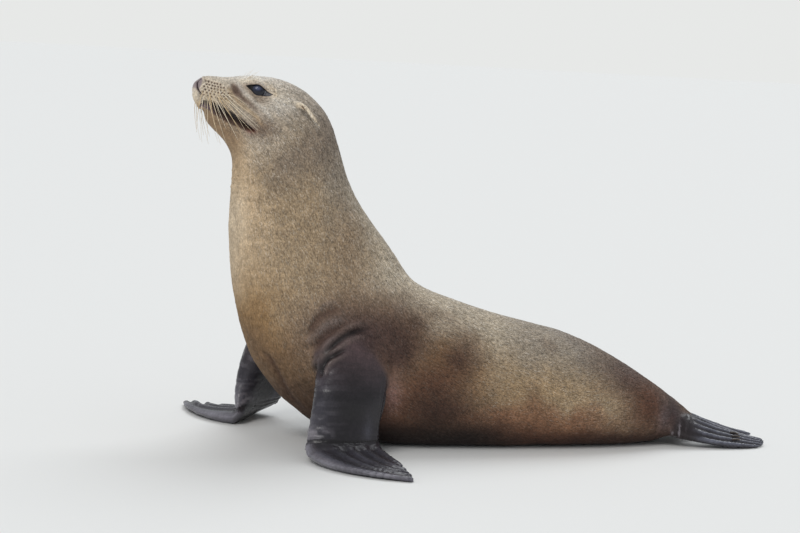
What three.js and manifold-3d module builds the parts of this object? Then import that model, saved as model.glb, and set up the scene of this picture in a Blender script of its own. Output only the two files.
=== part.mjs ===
// A California sea lion, a young adult female, sitting up on her foreflippers with her head raised.
// Millimetres, +Z up, on a floor at z = 0. She faces -Y and her left side is +X. Until the last line,
// y = 0 is the hollow of the back behind the neck; the last line moves the origin to the middle of the
// floor area under her.
import * as THREE from 'three';
import { mergeVertices } from 'three/addons/utils/BufferGeometryUtils.js';
import Module from 'manifold-3d';

const wasm = await Module();
wasm.setup();

// ---- Driving dimensions ----
const GAP = 0.3;                  // between neighbouring pieces
const AROUND = 26;                // points round each section of the body
const HEAD_STEPS = 3;             // sections between two stations of the head
const BODY_STEPS = 1;             // the same, behind the head
const EYE_RADIUS = 20;
const EYE = { side: 37, y: -345, z: 756 };
const TOES = 5;                   // digits in each flipper
const FLIPPER_ACROSS = 15;        // steps across a flipper, three to a digit
const FORE_ALONG = 13;            // steps from the shoulder to the tip
const HIND_ALONG = 9;             // steps from the ankle to the tip
const EAR_AROUND = 8;             // points round each section of an ear
const CLAW_LENGTH = 24;
const CLAW_PLACES = [0.3, 0.5, 0.7];   // across a hind flipper, on its three middle digits

// The body's stations, from the lip to the tail's end. back and belly are [y, z] in the middle plane;
// half is half the width there. square is the section's superellipse power, 2 being an ellipse, and
// sag moves the widest level towards the belly, as a share of half the depth.
const stations = [
  { at: 'lip', back: [-477, 768], belly: [-478, 731], half: 15, square: 2.3, sag: 0.0 },
  { at: 'nose', back: [-458, 781], belly: [-461, 704], half: 26, square: 2.3, sag: 0.05 },
  { at: 'whiskers', back: [-436, 783], belly: [-444, 680], half: 32, square: 2.3, sag: 0.0 },
  { at: 'bridge', back: [-408, 782], belly: [-428, 664], half: 36, square: 2.3, sag: -0.05 },
  { at: 'stop', back: [-374, 787], belly: [-410, 648], half: 44, square: 2.4, sag: -0.1 },
  { at: 'eye', back: [-335, 788], belly: [-395, 628], half: 57, square: 2.4, sag: -0.1 },
  { at: 'brow', back: [-291, 783], belly: [-387, 609], half: 66, square: 2.3, sag: -0.08 },
  { at: 'ear', back: [-242, 764], belly: [-385, 589], half: 73, square: 2.2, sag: -0.05 },
  { at: 'crown', back: [-200, 731], belly: [-385, 570], half: 79, square: 2.1, sag: 0.0 },
  { at: 'nape', back: [-169, 689], belly: [-385, 549], half: 84, square: 2.1, sag: 0.0 },
  { at: 'neck top', back: [-152, 642], belly: [-386, 518], half: 90, square: 2.1, sag: 0.0 },
  { at: 'neck', back: [-133, 583], belly: [-386, 479], half: 98, square: 2.1, sag: 0.0 },
  { at: 'neck base', back: [-105, 528], belly: [-385, 436], half: 108, square: 2.1, sag: 0.0 },
  { at: 'withers', back: [-67, 479], belly: [-381, 384], half: 121, square: 2.15, sag: 0.0 },
  { at: 'shoulder', back: [-30, 433], belly: [-371, 323], half: 134, square: 2.2, sag: 0.02 },
  { at: 'breast', back: [-1, 395], belly: [-351, 247], half: 146, square: 2.2, sag: 0.04 },
  { at: 'armpit', back: [18, 369], belly: [-320, 171], half: 155, square: 2.2, sag: 0.06 },
  { at: 'ribs', back: [35, 354], belly: [-265, 103], half: 160, square: 2.2, sag: 0.08 },
  { at: 'low ribs', back: [59, 342], belly: [-190, 41], half: 162, square: 2.2, sag: 0.1 },
  { at: 'brisket', back: [97, 327], belly: [-103, 3], half: 163, square: 2.2, sag: 0.12 },
  { at: 'midriff', back: [158, 307], belly: [-10, -9], half: 163, square: 2.2, sag: 0.14 },
  { at: 'waist', back: [238, 284], belly: [94, -9], half: 160, square: 2.2, sag: 0.16 },
  { at: 'loin', back: [317, 267], belly: [211, -9], half: 154, square: 2.2, sag: 0.18 },
  { at: 'croup', back: [386, 252], belly: [329, -9], half: 146, square: 2.2, sag: 0.18 },
  { at: 'hip', back: [456, 226], belly: [437, -8], half: 134, square: 2.2, sag: 0.16 },
  { at: 'thigh', back: [520, 192], belly: [523, -7], half: 118, square: 2.15, sag: 0.12 },
  { at: 'rump', back: [582, 157], belly: [596, -5], half: 97, square: 2.1, sag: 0.08 },
  { at: 'seat', back: [636, 121], belly: [652, 6], half: 68, square: 2.0, sag: 0.0 },
  { at: 'tail root', back: [684, 88], belly: [692, 38], half: 33, square: 2.0, sag: 0.0 },
  { at: 'tail end', back: [720, 62], belly: [717, 45], half: 11, square: 2.0, sag: 0.0 },
];
const NOSE_TIP = new THREE.Vector3(0, -482, 751);
const TAIL_TIP = new THREE.Vector3(0, 728, 52);

// Soft forms of the head that the sections don't carry: at a place on the left side, the skin moves out
// (or, where the sign is minus, in) by so many millimetres, fading over the given reach.
const headForms = [
  { place: [30, -444, 740], out: 4, reach: 24 },      // whisker pad
  { place: [40, -390, 754], out: -4, reach: 20 },     // hollow before the eye
  { place: [40, -338, 781], out: 3.5, reach: 17 },    // brow
  { place: [52, -352, 722], out: -3, reach: 26 },     // below the eye
  { place: [64, -300, 690], out: 5, reach: 38 },      // cheek
  { place: [24, -468, 700], out: -3, reach: 14 },     // under the lip
];

// ---- Making solids ----

// A closed body from rings of as many points each, closed by a fan at either end.
function lofted(rings, start, end) {
  const around = rings[0].length;
  const points = [start, ...rings.flat(), end];
  const last = points.length - 1;
  const faces = [];
  for (let k = 0; k < around; k++) {
    const next = (k + 1) % around;
    faces.push(0, 1 + next, 1 + k);
    faces.push(last, last - around + k, last - around + next);
  }
  for (let i = 0; i + 1 < rings.length; i++) {
    for (let k = 0; k < around; k++) {
      const [a, b] = [1 + i * around + k, 1 + i * around + ((k + 1) % around)];
      faces.push(a, b, b + around, a, b + around, a + around);
    }
  }
  const geometry = new THREE.BufferGeometry().setFromPoints(points);
  geometry.setIndex(faces);
  return geometry;
}

// A closed geometry as a manifold solid, with its faces turned to point out.
function solid(geometry) {
  const bare = geometry.clone();
  bare.deleteAttribute('normal');
  bare.deleteAttribute('uv');
  const merged = mergeVertices(bare, 1e-3);
  const vertProperties = merged.attributes.position.array;
  const build = (triVerts) => new wasm.Manifold(new wasm.Mesh({ numProp: 3, vertProperties, triVerts }));
  const made = build(new Uint32Array(merged.index.array));
  return made.volume() > 0 ? made : build(new Uint32Array(merged.index.array).reverse());
}

function ball(centre, radii) {
  const geometry = new THREE.IcosahedronGeometry(1, 3);
  return solid(geometry.scale(...radii).translate(...centre));
}

// A thin upright cut across the whole body, along the line between two [y, z] points and past them.
function cut(from, to, past = 60) {
  const [a, b] = [new THREE.Vector2(...from), new THREE.Vector2(...to)];
  const along = b.clone().sub(a);
  const middle = a.clone().add(b).multiplyScalar(0.5);
  const sheet = new THREE.BoxGeometry(600, along.length() + 2 * past, GAP);
  sheet.rotateX(along.angle()).translate(0, middle.x, middle.y);
  return solid(sheet);
}

function halfSpace(zLow, zHigh) {
  return solid(new THREE.BoxGeometry(3000, 3000, zHigh - zLow).translate(0, 0, (zLow + zHigh) / 2));
}

// ---- The body ----

const splines = {
  back: new THREE.CatmullRomCurve3(stations.map((s) => new THREE.Vector3(0, ...s.back))),
  belly: new THREE.CatmullRomCurve3(stations.map((s) => new THREE.Vector3(0, ...s.belly))),
  form: new THREE.CatmullRomCurve3(stations.map((s) => new THREE.Vector3(s.half, s.square, s.sag)), false,
    'catmullrom', 0.5),
};

function superellipse(value, power) {
  return Math.sign(value) * Math.abs(value) ** (2 / power);
}

// How far the head's soft forms move a point of the skin sideways.
function formAt(point) {
  let out = 0;
  for (const form of headForms) {
    const [x, y, z] = form.place;
    const away = Math.hypot(Math.abs(point.x) - x, point.y - y, point.z - z) / form.reach;
    out += form.out * Math.exp(-away * away);
  }
  return out * Math.tanh(point.x / 12);
}

// One section, t running from 0 at the lip to 1 at the tail's end, made bigger all round by grow.
function section(t, grow) {
  const back = splines.back.getPoint(t);
  const belly = splines.belly.getPoint(t);
  const form = splines.form.getPoint(t);
  const middle = back.clone().add(belly).multiplyScalar(0.5);
  const up = back.clone().sub(belly);
  const deep = up.length() / 2 + grow;
  up.normalize();
  const ring = [];
  for (let k = 0; k < AROUND; k++) {
    const angle = (2 * Math.PI * k) / AROUND;
    const high = superellipse(Math.cos(angle), form.y);
    const wide = superellipse(Math.sin(angle), form.y);
    const point = middle.clone().addScaledVector(up, deep * (high - form.z * (1 - high * high)));
    point.x = (form.x + grow) * wide;
    point.x += formAt(point);
    point.z = Math.max(point.z, -grow);
    ring.push(point);
  }
  return ring;
}

function bodySolid(grow = 0) {
  const rings = [];
  const nape = stations.findIndex((s) => s.at === 'nape');
  for (let i = 0; i + 1 < stations.length; i++) {
    const steps = i < nape ? HEAD_STEPS : BODY_STEPS;
    for (let k = 0; k < steps; k++) rings.push(section((i + k / steps) / (stations.length - 1), grow));
  }
  rings.push(section(1, grow));
  return solid(lofted(rings, NOSE_TIP, TAIL_TIP));
}

// ---- Flippers ----

function curveOf(points) {
  return new THREE.CatmullRomCurve3(points.map((p) => new THREE.Vector3(...p)));
}

// A point on the sheet between three curves: u along them, and v from the first, through the second
// at 0.5, to the third at 1.
function onSheet(curves, u, v) {
  const shares = [(1 - v) * (1 - 2 * v), 4 * v * (1 - v), v * (2 * v - 1)];
  const point = new THREE.Vector3();
  curves.forEach((curve, i) => point.addScaledVector(curve.getPoint(u), shares[i]));
  return point;
}

// A flipper is a sheet between lanes that run from the limb's root to the rim, spread by guides: the
// first edge, the middle and the last edge, each a list of points. notch is how far the gaps between
// the digits cut back from the rim, as a share of a lane, and thick(u, v) is the sheet's thickness.
function flipper({ guides, along, notch, thick }, side, grow = 0) {
  const curves = guides.map(curveOf);
  const digit = (v) => Math.abs(Math.sin(Math.PI * TOES * v));
  const place = (u, v) => onSheet(curves, u * (1 - notch * (1 - digit(v)) * u ** 4), v);
  const normal = (u, v) => {
    const [u0, u1] = [Math.max(u - 0.02, 0), Math.min(u + 0.02, 1)];
    const alongLane = curves[1].getPoint(u1).sub(curves[1].getPoint(u0));
    const across = place(u, Math.min(v + 0.1, 1)).sub(place(u, Math.max(v - 0.1, 0)));
    return across.cross(alongLane).normalize();
  };
  const rings = [];
  for (let i = 0; i <= along; i++) {
    const u = i / along;
    const ring = [];
    for (let k = 0; k < 2 * FLIPPER_ACROSS; k++) {
      const top = k < FLIPPER_ACROSS;
      const v = top ? k / FLIPPER_ACROSS : 2 - k / FLIPPER_ACROSS;
      const round = Math.sqrt(Math.max(1 - Math.abs(2 * v - 1) ** 3, 0));
      const half = (thick(u, v) * round) / 2 + grow;
      const point = place(u, v).addScaledVector(normal(u, v), top ? half : -half);
      point.z = Math.max(point.z, -grow);
      point.x *= side;
      ring.push(point);
    }
    rings.push(ring);
  }
  const ends = [0, 1].map((u) => {
    const centre = place(u * 0.985, 0.5);
    centre.x *= side;
    return centre;
  });
  return solid(lofted(rings, ...ends));
}

const mix = THREE.MathUtils.lerp;
const smooth = THREE.MathUtils.smoothstep;

// Each foreflipper comes down the side as a broad arm, bends out at the wrist and lies on the floor,
// its leading edge (the first digit) outermost and longest.
const foreLeft = {
  guides: [
    [[96, -205, 296], [146, -214, 222], [190, -226, 130], [208, -238, 62], [236, -246, 20],
      [300, -230, 13], [378, -174, 11], [448, -50, 7]],
    [[96, -130, 306], [152, -136, 222], [197, -147, 130], [214, -153, 62], [241, -152, 20],
      [300, -132, 11], [346, -102, 9], [380, -52, 6]],
    [[96, -56, 286], [138, -50, 212], [174, -50, 132], [188, -68, 64], [208, -72, 28],
      [236, -64, 19], [262, -54, 12], [286, -44, 6]],
  ],
  along: FORE_ALONG,
  notch: 0.07,
  thick: (u, v) => {
    const arm = mix(82, 34, smooth(u, 0.05, 0.55));
    return mix(arm, 11, smooth(u, 0.5, 1)) * mix(1.1, 0.45, smooth(v, 0.1, 1));
  },
};

// The right one is the same limb stepped forward, turning more and more about the shoulder as it comes
// down, and then about the heel, so that its blade points forward and out. forward has a distance for
// each point of a guide.
const SHOULDER = new THREE.Vector2(110, -130);
const HEEL = new THREE.Vector2(214, -222);
const STEP = {
  forward: [45, 66, 62, 52, 42, 42, 42, 42],
  out: 22,
  turn: THREE.MathUtils.degToRad(45),
  bladeTurn: THREE.MathUtils.degToRad(18),
};

function stepped([x, y, z], i) {
  const turn = STEP.turn * Math.min(i / 3.6, 1);
  const flat = new THREE.Vector2(x, y).rotateAround(SHOULDER, -turn);
  flat.add(new THREE.Vector2(STEP.out * Math.min(i / 3, 1), -STEP.forward[i]));
  flat.rotateAround(HEEL, -STEP.bladeTurn * THREE.MathUtils.smoothstep(i, 2.5, 5));
  return [flat.x, flat.y, z];
}

const foreRight = { ...foreLeft, guides: foreLeft.guides.map((points) => points.map(stepped)) };

// The hind flippers trail behind with their soles down and in, the upper edge beside the tail.
const hind = {
  guides: [
    [[20, 610, 86], [20, 660, 76], [18, 708, 60], [18, 770, 38], [21, 830, 19], [26, 890, 8]],
    [[54, 610, 58], [58, 655, 49], [62, 705, 38], [64, 766, 24], [63, 826, 13], [56, 880, 6]],
    [[64, 610, 26], [78, 655, 19], [90, 700, 13], [100, 755, 8], [98, 808, 6], [86, 856, 5]],
  ],
  along: HIND_ALONG,
  notch: 0.1,
  thick: (u, v) => mix(mix(52, 17, smooth(u, 0.1, 0.6)), 7, smooth(u, 0.6, 1)) * mix(1, 0.8, v),
};

// ---- Ears and claws ----

// A small rolled cone that lies back along the head, leaning out from it.
function earSolid(side) {
  const line = curveOf([[62, -268, 734], [71, -256, 731], [78, -238, 717], [82, -218, 692]]);
  const width = [7, 8, 7.5, 6, 3.5];
  const rings = width.map((wide, i) => {
    const centre = line.getPoint(i / (width.length - 1));
    const along = line.getTangent(i / (width.length - 1));
    const out = new THREE.Vector3(1, 0.1, 0.2);
    const across = out.clone().cross(along).normalize();
    out.copy(along).cross(across).normalize();
    return Array.from({ length: EAR_AROUND }, (_, k) => {
      const angle = (2 * Math.PI * k) / EAR_AROUND;
      const point = centre.clone().addScaledVector(across, wide * Math.cos(angle));
      point.addScaledVector(out, 0.55 * wide * Math.sin(angle));
      point.x *= side;
      return point;
    });
  });
  const tips = [0, 1].map((t) => {
    const tip = line.getPoint(t).addScaledVector(line.getTangent(t), t ? 3 : -3);
    tip.x *= side;
    return tip;
  });
  return solid(lofted(rings, ...tips));
}

// A nail on the back of a hind flipper's digit, lying along it. v is its place across the flipper.
function clawSolid(v, side) {
  const lanes = hind.guides.map(curveOf);
  const [from, to] = [0.66, 0.77].map((u) => onSheet(lanes, u, v));
  const cone = new THREE.CylinderGeometry(0.8, 3.4, CLAW_LENGTH, 8);
  cone.applyQuaternion(new THREE.Quaternion().setFromUnitVectors(
    new THREE.Vector3(0, 1, 0), to.clone().sub(from).normalize(),
  ));
  const lift = hind.thick(0.7, v) / 2 + 1;
  const outward = new THREE.Vector3(0.55, 0, 0.83);     // square to the flipper's upper side
  cone.translate(...from.lerp(to, 0.5).addScaledVector(outward, lift));
  if (side < 0) cone.scale(-1, 1, 1);
  return solid(cone);
}

// ---- Parting the whole into its named pieces ----

const station = (name) => stations.find((s) => s.at === name);
const centreOf = (name) => {
  const { back, belly } = station(name);
  return new THREE.Vector3(0, (back[0] + belly[0]) / 2, (back[1] + belly[1]) / 2);
};
const cutAt = (name) => cut(station(name).back, station(name).belly);

const MOUTH_CORNER = [-347, 676];
const mouthCut = cut([-510, 734], MOUTH_CORNER, 0).add(cut([-347.5, 677], [-440, 632], 0));

const whole = bodySolid();
const grown = bodySolid(GAP);
const cuts = ['nape', 'withers', 'midriff', 'hip', 'tail root'].map(cutAt);
const parted = cuts.reduce((rest, sheet) => rest.subtract(sheet), whole.subtract(mouthCut)).decompose();

// The separate body whose box has its middle nearest to a given point.
function pieceAt(pieces, point) {
  const middles = pieces.map((piece) => {
    const { min, max } = piece.boundingBox();
    return new THREE.Vector3(...min).add(new THREE.Vector3(...max)).multiplyScalar(0.5);
  });
  const distances = middles.map((middle) => middle.distanceTo(point));
  return pieces[distances.indexOf(Math.min(...distances))];
}

const eyeCentre = (side) => [side * EYE.side, EYE.y, EYE.z];
const socket = (side) => ball(eyeCentre(side), Array(3).fill(EYE_RADIUS + GAP));
const NOSE_PAD = { centre: [0, -476, 766], radii: [19, 15, 18] };

const pieces = new Map();
const headWhole = pieceAt(parted, new THREE.Vector3(0, -325, 690));
pieces.set('head', headWhole.subtract(socket(1)).subtract(socket(-1))
  .subtract(ball(NOSE_PAD.centre, NOSE_PAD.radii)));
pieces.set('nose', headWhole.intersect(ball(NOSE_PAD.centre, NOSE_PAD.radii.map((r) => r - GAP))));
pieces.set('lower_jaw', pieceAt(parted, new THREE.Vector3(0, -430, 690)));
pieces.set('neck', pieceAt(parted, centreOf('neck')));
pieces.set('chest', pieceAt(parted, new THREE.Vector3(0, -150, 220)));
pieces.set('belly', pieceAt(parted, centreOf('loin')));
pieces.set('rump', pieceAt(parted, new THREE.Vector3(0, 560, 120)));
pieces.set('tail', pieceAt(parted, centreOf('tail end')));

const WRIST = 34;                 // height of the parting between arm and flipper
const above = halfSpace(WRIST + GAP, 900);
const below = halfSpace(-50, WRIST);
const largest = (made) => made.decompose().sort((a, b) => b.volume() - a.volume())[0];
for (const [name, side, fore] of [['left', 1, foreLeft], ['right', -1, foreRight]]) {
  const limb = largest(flipper(fore, side).subtract(grown));
  pieces.set(`arm_${name}`, limb.intersect(above));
  pieces.set(`foreflipper_${name}`, largest(limb.intersect(below)));
  pieces.set(`hindflipper_${name}`, largest(flipper(hind, side).subtract(grown)));
  pieces.set(`eye_${name}`, ball(eyeCentre(side), Array(3).fill(EYE_RADIUS)));
  pieces.set(`ear_${name}`, largest(earSolid(side).subtract(grown)));
  const hindGrown = flipper(hind, side, GAP);
  CLAW_PLACES.forEach((v, i) => {
    pieces.set(`claw_${name}_${i + 2}`, largest(clawSolid(v, side).subtract(hindGrown)));
  });
}

// ---- Materials and the exported group ----

function finish(color, roughness) {
  return new THREE.MeshStandardMaterial({ color, roughness, metalness: 0 });
}

const fur = finish(0x8f7a5e, 0.75);
const flipperSkin = finish(0x3a3433, 0.55);
const noseSkin = finish(0x4a4140, 0.45);
const eyeball = finish(0x0e1016, 0.08);
const nail = finish(0x4b4038, 0.5);
const finishes = {
  arm: flipperSkin,
  foreflipper: flipperSkin,
  hindflipper: flipperSkin,
  eye: eyeball,
  claw: nail,
  nose: noseSkin,
};

function meshOf(name, made) {
  const { numProp, vertProperties, triVerts } = made.getMesh();
  const positions = new Float32Array(vertProperties.length / numProp * 3);
  for (let i = 0; i * numProp < vertProperties.length; i++) {
    positions.set(vertProperties.subarray(i * numProp, i * numProp + 3), i * 3);
  }
  const geometry = new THREE.BufferGeometry();
  geometry.setAttribute('position', new THREE.BufferAttribute(positions, 3));
  geometry.setIndex(new THREE.BufferAttribute(triVerts, 1));
  geometry.computeVertexNormals();
  const mesh = new THREE.Mesh(geometry, finishes[name.split('_')[0]] ?? fur);
  mesh.name = name;
  return mesh;
}

const seaLion = new THREE.Group();
for (const [name, made] of pieces) seaLion.add(meshOf(name, made));
const box = new THREE.Box3().setFromObject(seaLion);
const middle = box.getCenter(new THREE.Vector3());
seaLion.position.set(-middle.x, -middle.y, -box.min.z);

export default seaLion;
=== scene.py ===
"""A female California sea lion, sitting up on her foreflippers: skin, coat, eyes, claws and whiskers.

Lengths are millimetres in the animal's own frame until a mesh is made: x to her left from the middle
plane, y backwards from the line through her eyes, z up from the floor. On the head, f is forward of the
eyes and u above them. Blender's objects are in metres, in the frame of the CAD model.
"""
import math

import bmesh
import bpy
import numpy as np
from mathutils import Matrix, Vector
from mathutils.bvhtree import BVHTree
from mathutils.kdtree import KDTree


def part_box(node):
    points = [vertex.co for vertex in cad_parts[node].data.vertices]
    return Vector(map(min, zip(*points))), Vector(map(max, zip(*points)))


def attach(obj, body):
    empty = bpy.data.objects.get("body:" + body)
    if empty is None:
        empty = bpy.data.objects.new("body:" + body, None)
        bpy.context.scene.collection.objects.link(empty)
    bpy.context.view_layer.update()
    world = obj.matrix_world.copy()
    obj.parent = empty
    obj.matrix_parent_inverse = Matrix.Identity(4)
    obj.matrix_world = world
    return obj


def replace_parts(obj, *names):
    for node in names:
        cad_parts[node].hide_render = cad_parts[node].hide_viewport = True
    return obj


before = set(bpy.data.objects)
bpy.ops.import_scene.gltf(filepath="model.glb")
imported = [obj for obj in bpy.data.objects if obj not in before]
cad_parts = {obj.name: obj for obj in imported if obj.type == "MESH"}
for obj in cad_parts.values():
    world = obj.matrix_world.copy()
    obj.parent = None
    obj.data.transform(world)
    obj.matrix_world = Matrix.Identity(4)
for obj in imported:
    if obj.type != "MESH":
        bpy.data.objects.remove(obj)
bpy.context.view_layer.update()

SEED = 20
VOXEL = 3.0                     # the skin's mesh on the body
SEAM = 0.5                      # flesh nodes swell by this much, so that they join into one
COAT_DEPTH = 1.1                # from the CAD surface down to the skin, where there is fur
BARE_DEPTH = 0.2                # and where there is none
FLOOR_GAP = 0.4

# ---------------------------------------------------------------- frame and animal

eye_boxes = {side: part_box(f"eye_{side}") for side in ("left", "right")}
eye_middles = {side: (low + high) / 2 for side, (low, high) in eye_boxes.items()}
# Half of a length in metres is 500 times it in millimetres.
EYE_RADIUS = (eye_boxes["left"][1].z - eye_boxes["left"][0].z) * 500
EYE_SIDE = (eye_middles["left"].x - eye_middles["right"].x) * 500
EYE_UP = eye_middles["left"].z * 1000
ORIGIN = np.array([(eye_middles["left"].x + eye_middles["right"].x) / 2, eye_middles["left"].y, 0.0])


def to_animal(metres):
    return (np.asarray(metres, float) - ORIGIN) * 1000


def to_frame(points):
    return np.asarray(points, float) / 1000 + ORIGIN


# ---------------------------------------------------------------- numbers

def smooth(low, high, value):
    """0 at low and before, 1 at high and past it, with an even turn between them. low may be the higher."""
    t = np.clip((value - low) / (high - low), 0, 1)
    return t * t * (3 - 2 * t)


def bump(distance, width):
    return np.exp(-((distance / width) ** 2))


def mix(a, b, share):
    """a where share is 0 and b where it is 1. Both may be numbers, or points or colours."""
    share = np.asarray(share, float)
    if share.ndim and any(np.shape(end)[-1:] in ((2,), (3,)) for end in (a, b)):
        share = share[..., None]
    return a + (b - a) * share


def within(value, start, full, fading, end):
    """1 where the value is from full to fading, and evenly less out to 0 at start and at end."""
    return smooth(start, full, value) * smooth(end, fading, value)


def unit(vectors):
    return vectors / np.maximum(np.linalg.norm(vectors, axis=-1, keepdims=True), 1e-9)


def scramble(cells, seed):
    """A number from 0 to 1 for each whole-numbered cell, the same each run."""
    x, y, z = (cells[..., i].astype(np.int64).astype(np.uint32) for i in range(3))
    h = x * np.uint32(0x8DA6B343) ^ y * np.uint32(0xD8163841) ^ z * np.uint32(0xCB1AB31F)
    h ^= np.uint32((seed * 0x9E3779B1) & 0xFFFFFFFF)
    h ^= h >> np.uint32(15)
    h *= np.uint32(0x2C1B3C6D)
    h ^= h >> np.uint32(12)
    h *= np.uint32(0x297A2D39)
    h ^= h >> np.uint32(15)
    return h.astype(float) / 0xFFFFFFFF


def noise(points, size, seed):
    """Smooth noise from -1 to 1 with lumps of about the given size."""
    q = points / size
    cell = np.floor(q)
    part = q - cell
    part = part * part * (3 - 2 * part)
    total = np.zeros(len(points))
    for corner in np.ndindex(2, 2, 2):
        weight = np.prod(np.where(corner, part, 1 - part), axis=1)
        total += weight * scramble(cell + corner, seed)
    return total * 2 - 1


def curve(points, count=40):
    """Points along the smooth line through the given ones."""
    p = np.asarray(points, float)
    p = np.vstack([2 * p[0] - p[1], p, 2 * p[-1] - p[-2]])
    t = np.linspace(0, len(p) - 3 - 1e-9, count)
    i = t.astype(int)
    t = (t - i)[:, None]
    a, b, c, d = p[i], p[i + 1], p[i + 2], p[i + 3]
    return 0.5 * (2 * b + (c - a) * t + (2 * a - 5 * b + 4 * c - d) * t**2 + (3 * b - a - 3 * c + d) * t**3)


def to_line(points, line):
    """For each point its distance to a line and its share of the way along it."""
    a, d = line[:-1], np.diff(line, axis=0)
    t = np.clip(((points[:, None] - a) * d).sum(-1) / np.maximum((d * d).sum(-1), 1e-9), 0, 1)
    away = np.linalg.norm(points[:, None] - a - t[..., None] * d, axis=-1)
    nearest = away.argmin(1)
    rows = np.arange(len(points))
    return away[rows, nearest], (nearest + t[rows, nearest]) / len(a)


# ---------------------------------------------------------------- where things are on the animal

# Sections across her, from the lip to the tail's end: the [y, z] of the back and of the belly.
SECTIONS = {
    "lip": [(-132, 768), (-133, 731)],
    "whiskers": [(-91, 783), (-99, 680)],
    "stop": [(-29, 787), (-65, 648)],
    "brow": [(54, 783), (-42, 609)],
    "crown": [(145, 731), (-40, 570)],
    "nape": [(176, 689), (-40, 549)],
    "neck": [(212, 583), (-41, 479)],
    "withers": [(278, 479), (-36, 384)],
    "breast": [(344, 395), (-6, 247)],
    "ribs": [(380, 354), (80, 103)],
    "brisket": [(442, 327), (242, 3)],
    "waist": [(583, 284), (439, -9)],
    "croup": [(731, 252), (674, -9)],
    "hip": [(801, 226), (782, -8)],
    "rump": [(927, 157), (941, -5)],
    "tail": [(1029, 88), (1037, 38)],
    "end": [(1065, 62), (1062, 45)],
}
PLACE = {name: i for i, name in enumerate(SECTIONS)}
BACKS, BELLIES = (np.array([pair[i] for pair in SECTIONS.values()], float) for i in (0, 1))
TAILWARD = unit(np.stack([BACKS[:, 1] - BELLIES[:, 1], BELLIES[:, 0] - BACKS[:, 0]], 1))
MIDDLES = (BACKS + BELLIES) / 2
LENGTHS = np.concatenate([[0], np.cumsum(np.linalg.norm(np.diff(MIDDLES, axis=0), axis=1))])


def along_body(station):
    return np.interp(station, np.arange(len(LENGTHS)), LENGTHS)


def past(first, last, station):
    """0 up to the first named section and 1 beyond the last, either way along the body."""
    return smooth(PLACE[first], PLACE[last], station)


# A flipper is a sheet between three lines that run from the limb's root to its rim: along its first
# edge, its middle and its last edge. These are the guides that the solids are built on.
FORE = [
    [(96, 140, 296), (146, 131, 222), (190, 119, 130), (208, 107, 62),
     (236, 99, 20), (300, 115, 13), (378, 171, 11), (448, 295, 7)],
    [(96, 215, 306), (152, 209, 222), (197, 198, 130), (214, 192, 62),
     (241, 193, 20), (300, 213, 11), (346, 243, 9), (380, 293, 6)],
    [(96, 289, 286), (138, 295, 212), (174, 295, 132), (188, 277, 64),
     (208, 273, 28), (236, 281, 19), (262, 291, 12), (286, 301, 6)],
]
HIND = [
    [(20, 955, 86), (20, 1005, 76), (18, 1053, 60), (18, 1115, 38), (21, 1175, 19), (26, 1235, 8)],
    [(54, 955, 58), (58, 1000, 49), (62, 1050, 38), (64, 1111, 24), (63, 1171, 13), (56, 1225, 6)],
    [(64, 955, 26), (78, 1000, 19), (90, 1045, 13), (100, 1100, 8), (98, 1153, 6), (86, 1201, 5)],
]
SHOULDER = (110, 215)
STEP_FORWARD = (45, 66, 62, 52, 42, 42, 42, 42)
STEP_OUT, STEP_TURN = 22, math.radians(45)
ARM_AHEAD = 48                  # the right shoulder and its marks lie that much further forward
HEEL = (214, 123)
HEEL_TURN = math.radians(18)
DIGITS = 5
SHEET_ROWS, SHEET_LANES = 61, 41


def turned(across, back, centre, turn):
    """A place on the floor's plane after a turn about a centre."""
    x, y = across - centre[0], back - centre[1]
    return (x * math.cos(turn) - y * math.sin(turn) + centre[0],
            x * math.sin(turn) + y * math.cos(turn) + centre[1])


def stepped(point, i):
    """The right foreflipper's guides: the left one's, turned about the shoulder and set forward."""
    across, back = turned(point[0], point[1], SHOULDER, -STEP_TURN * min(i / 3.6, 1))
    across, back = across + STEP_OUT * min(i / 3, 1), back - STEP_FORWARD[i]
    return *turned(across, back, HEEL, -HEEL_TURN * smooth(2.5, 5, i)), point[2]


class Sheet:
    """The middle surface of a flipper, to tell how far along it (u) and across it (v) a point is."""

    def __init__(self, guides, side):
        self.lines = [curve(guide, SHEET_ROWS) * (side, 1, 1) for guide in guides]
        u, v = np.meshgrid(np.linspace(0, 1, SHEET_ROWS), np.linspace(0, 1, SHEET_LANES), indexing="ij")
        self.u, self.v = u.ravel(), v.ravel()
        self.points = self.at(np.arange(SHEET_ROWS).repeat(SHEET_LANES), self.v)
        along = np.gradient(self.points.reshape(SHEET_ROWS, SHEET_LANES, 3), axis=0)
        self.along = unit(along.reshape(-1, 3))
        self.tree = KDTree(len(self.points))
        for i, point in enumerate(self.points):
            self.tree.insert(point, i)
        self.tree.balance()

    def at(self, row, v):
        a, b, c = (line[row] for line in self.lines)
        v = np.asarray(v)[:, None]
        return a * (1 - v) * (1 - 2 * v) + b * 4 * v * (1 - v) + c * v * (2 * v - 1)

    def find(self, points):
        hits = [self.tree.find(point) for point in points]
        index = np.array([hit[1] for hit in hits], int)
        away = np.array([hit[2] for hit in hits])
        return self.u[index], self.v[index], self.along[index], away


# ---------------------------------------------------------------- meshes

def rows(data, field, width=3, kind=np.float32):
    """A field of each item of a mesh's data, as rows of numbers."""
    flat = np.empty(len(data) * width, kind)
    data.foreach_get(field, flat)
    return flat.reshape(-1, width)


def points_of(mesh):
    return to_animal(rows(mesh.vertices, "co"))


def normals(mesh):
    mesh.update()
    return rows(mesh.vertex_normals, "vector").astype(float)


def place(mesh, points):
    mesh.vertices.foreach_set("co", to_frame(points).astype(np.float32).ravel())
    mesh.update()


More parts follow.
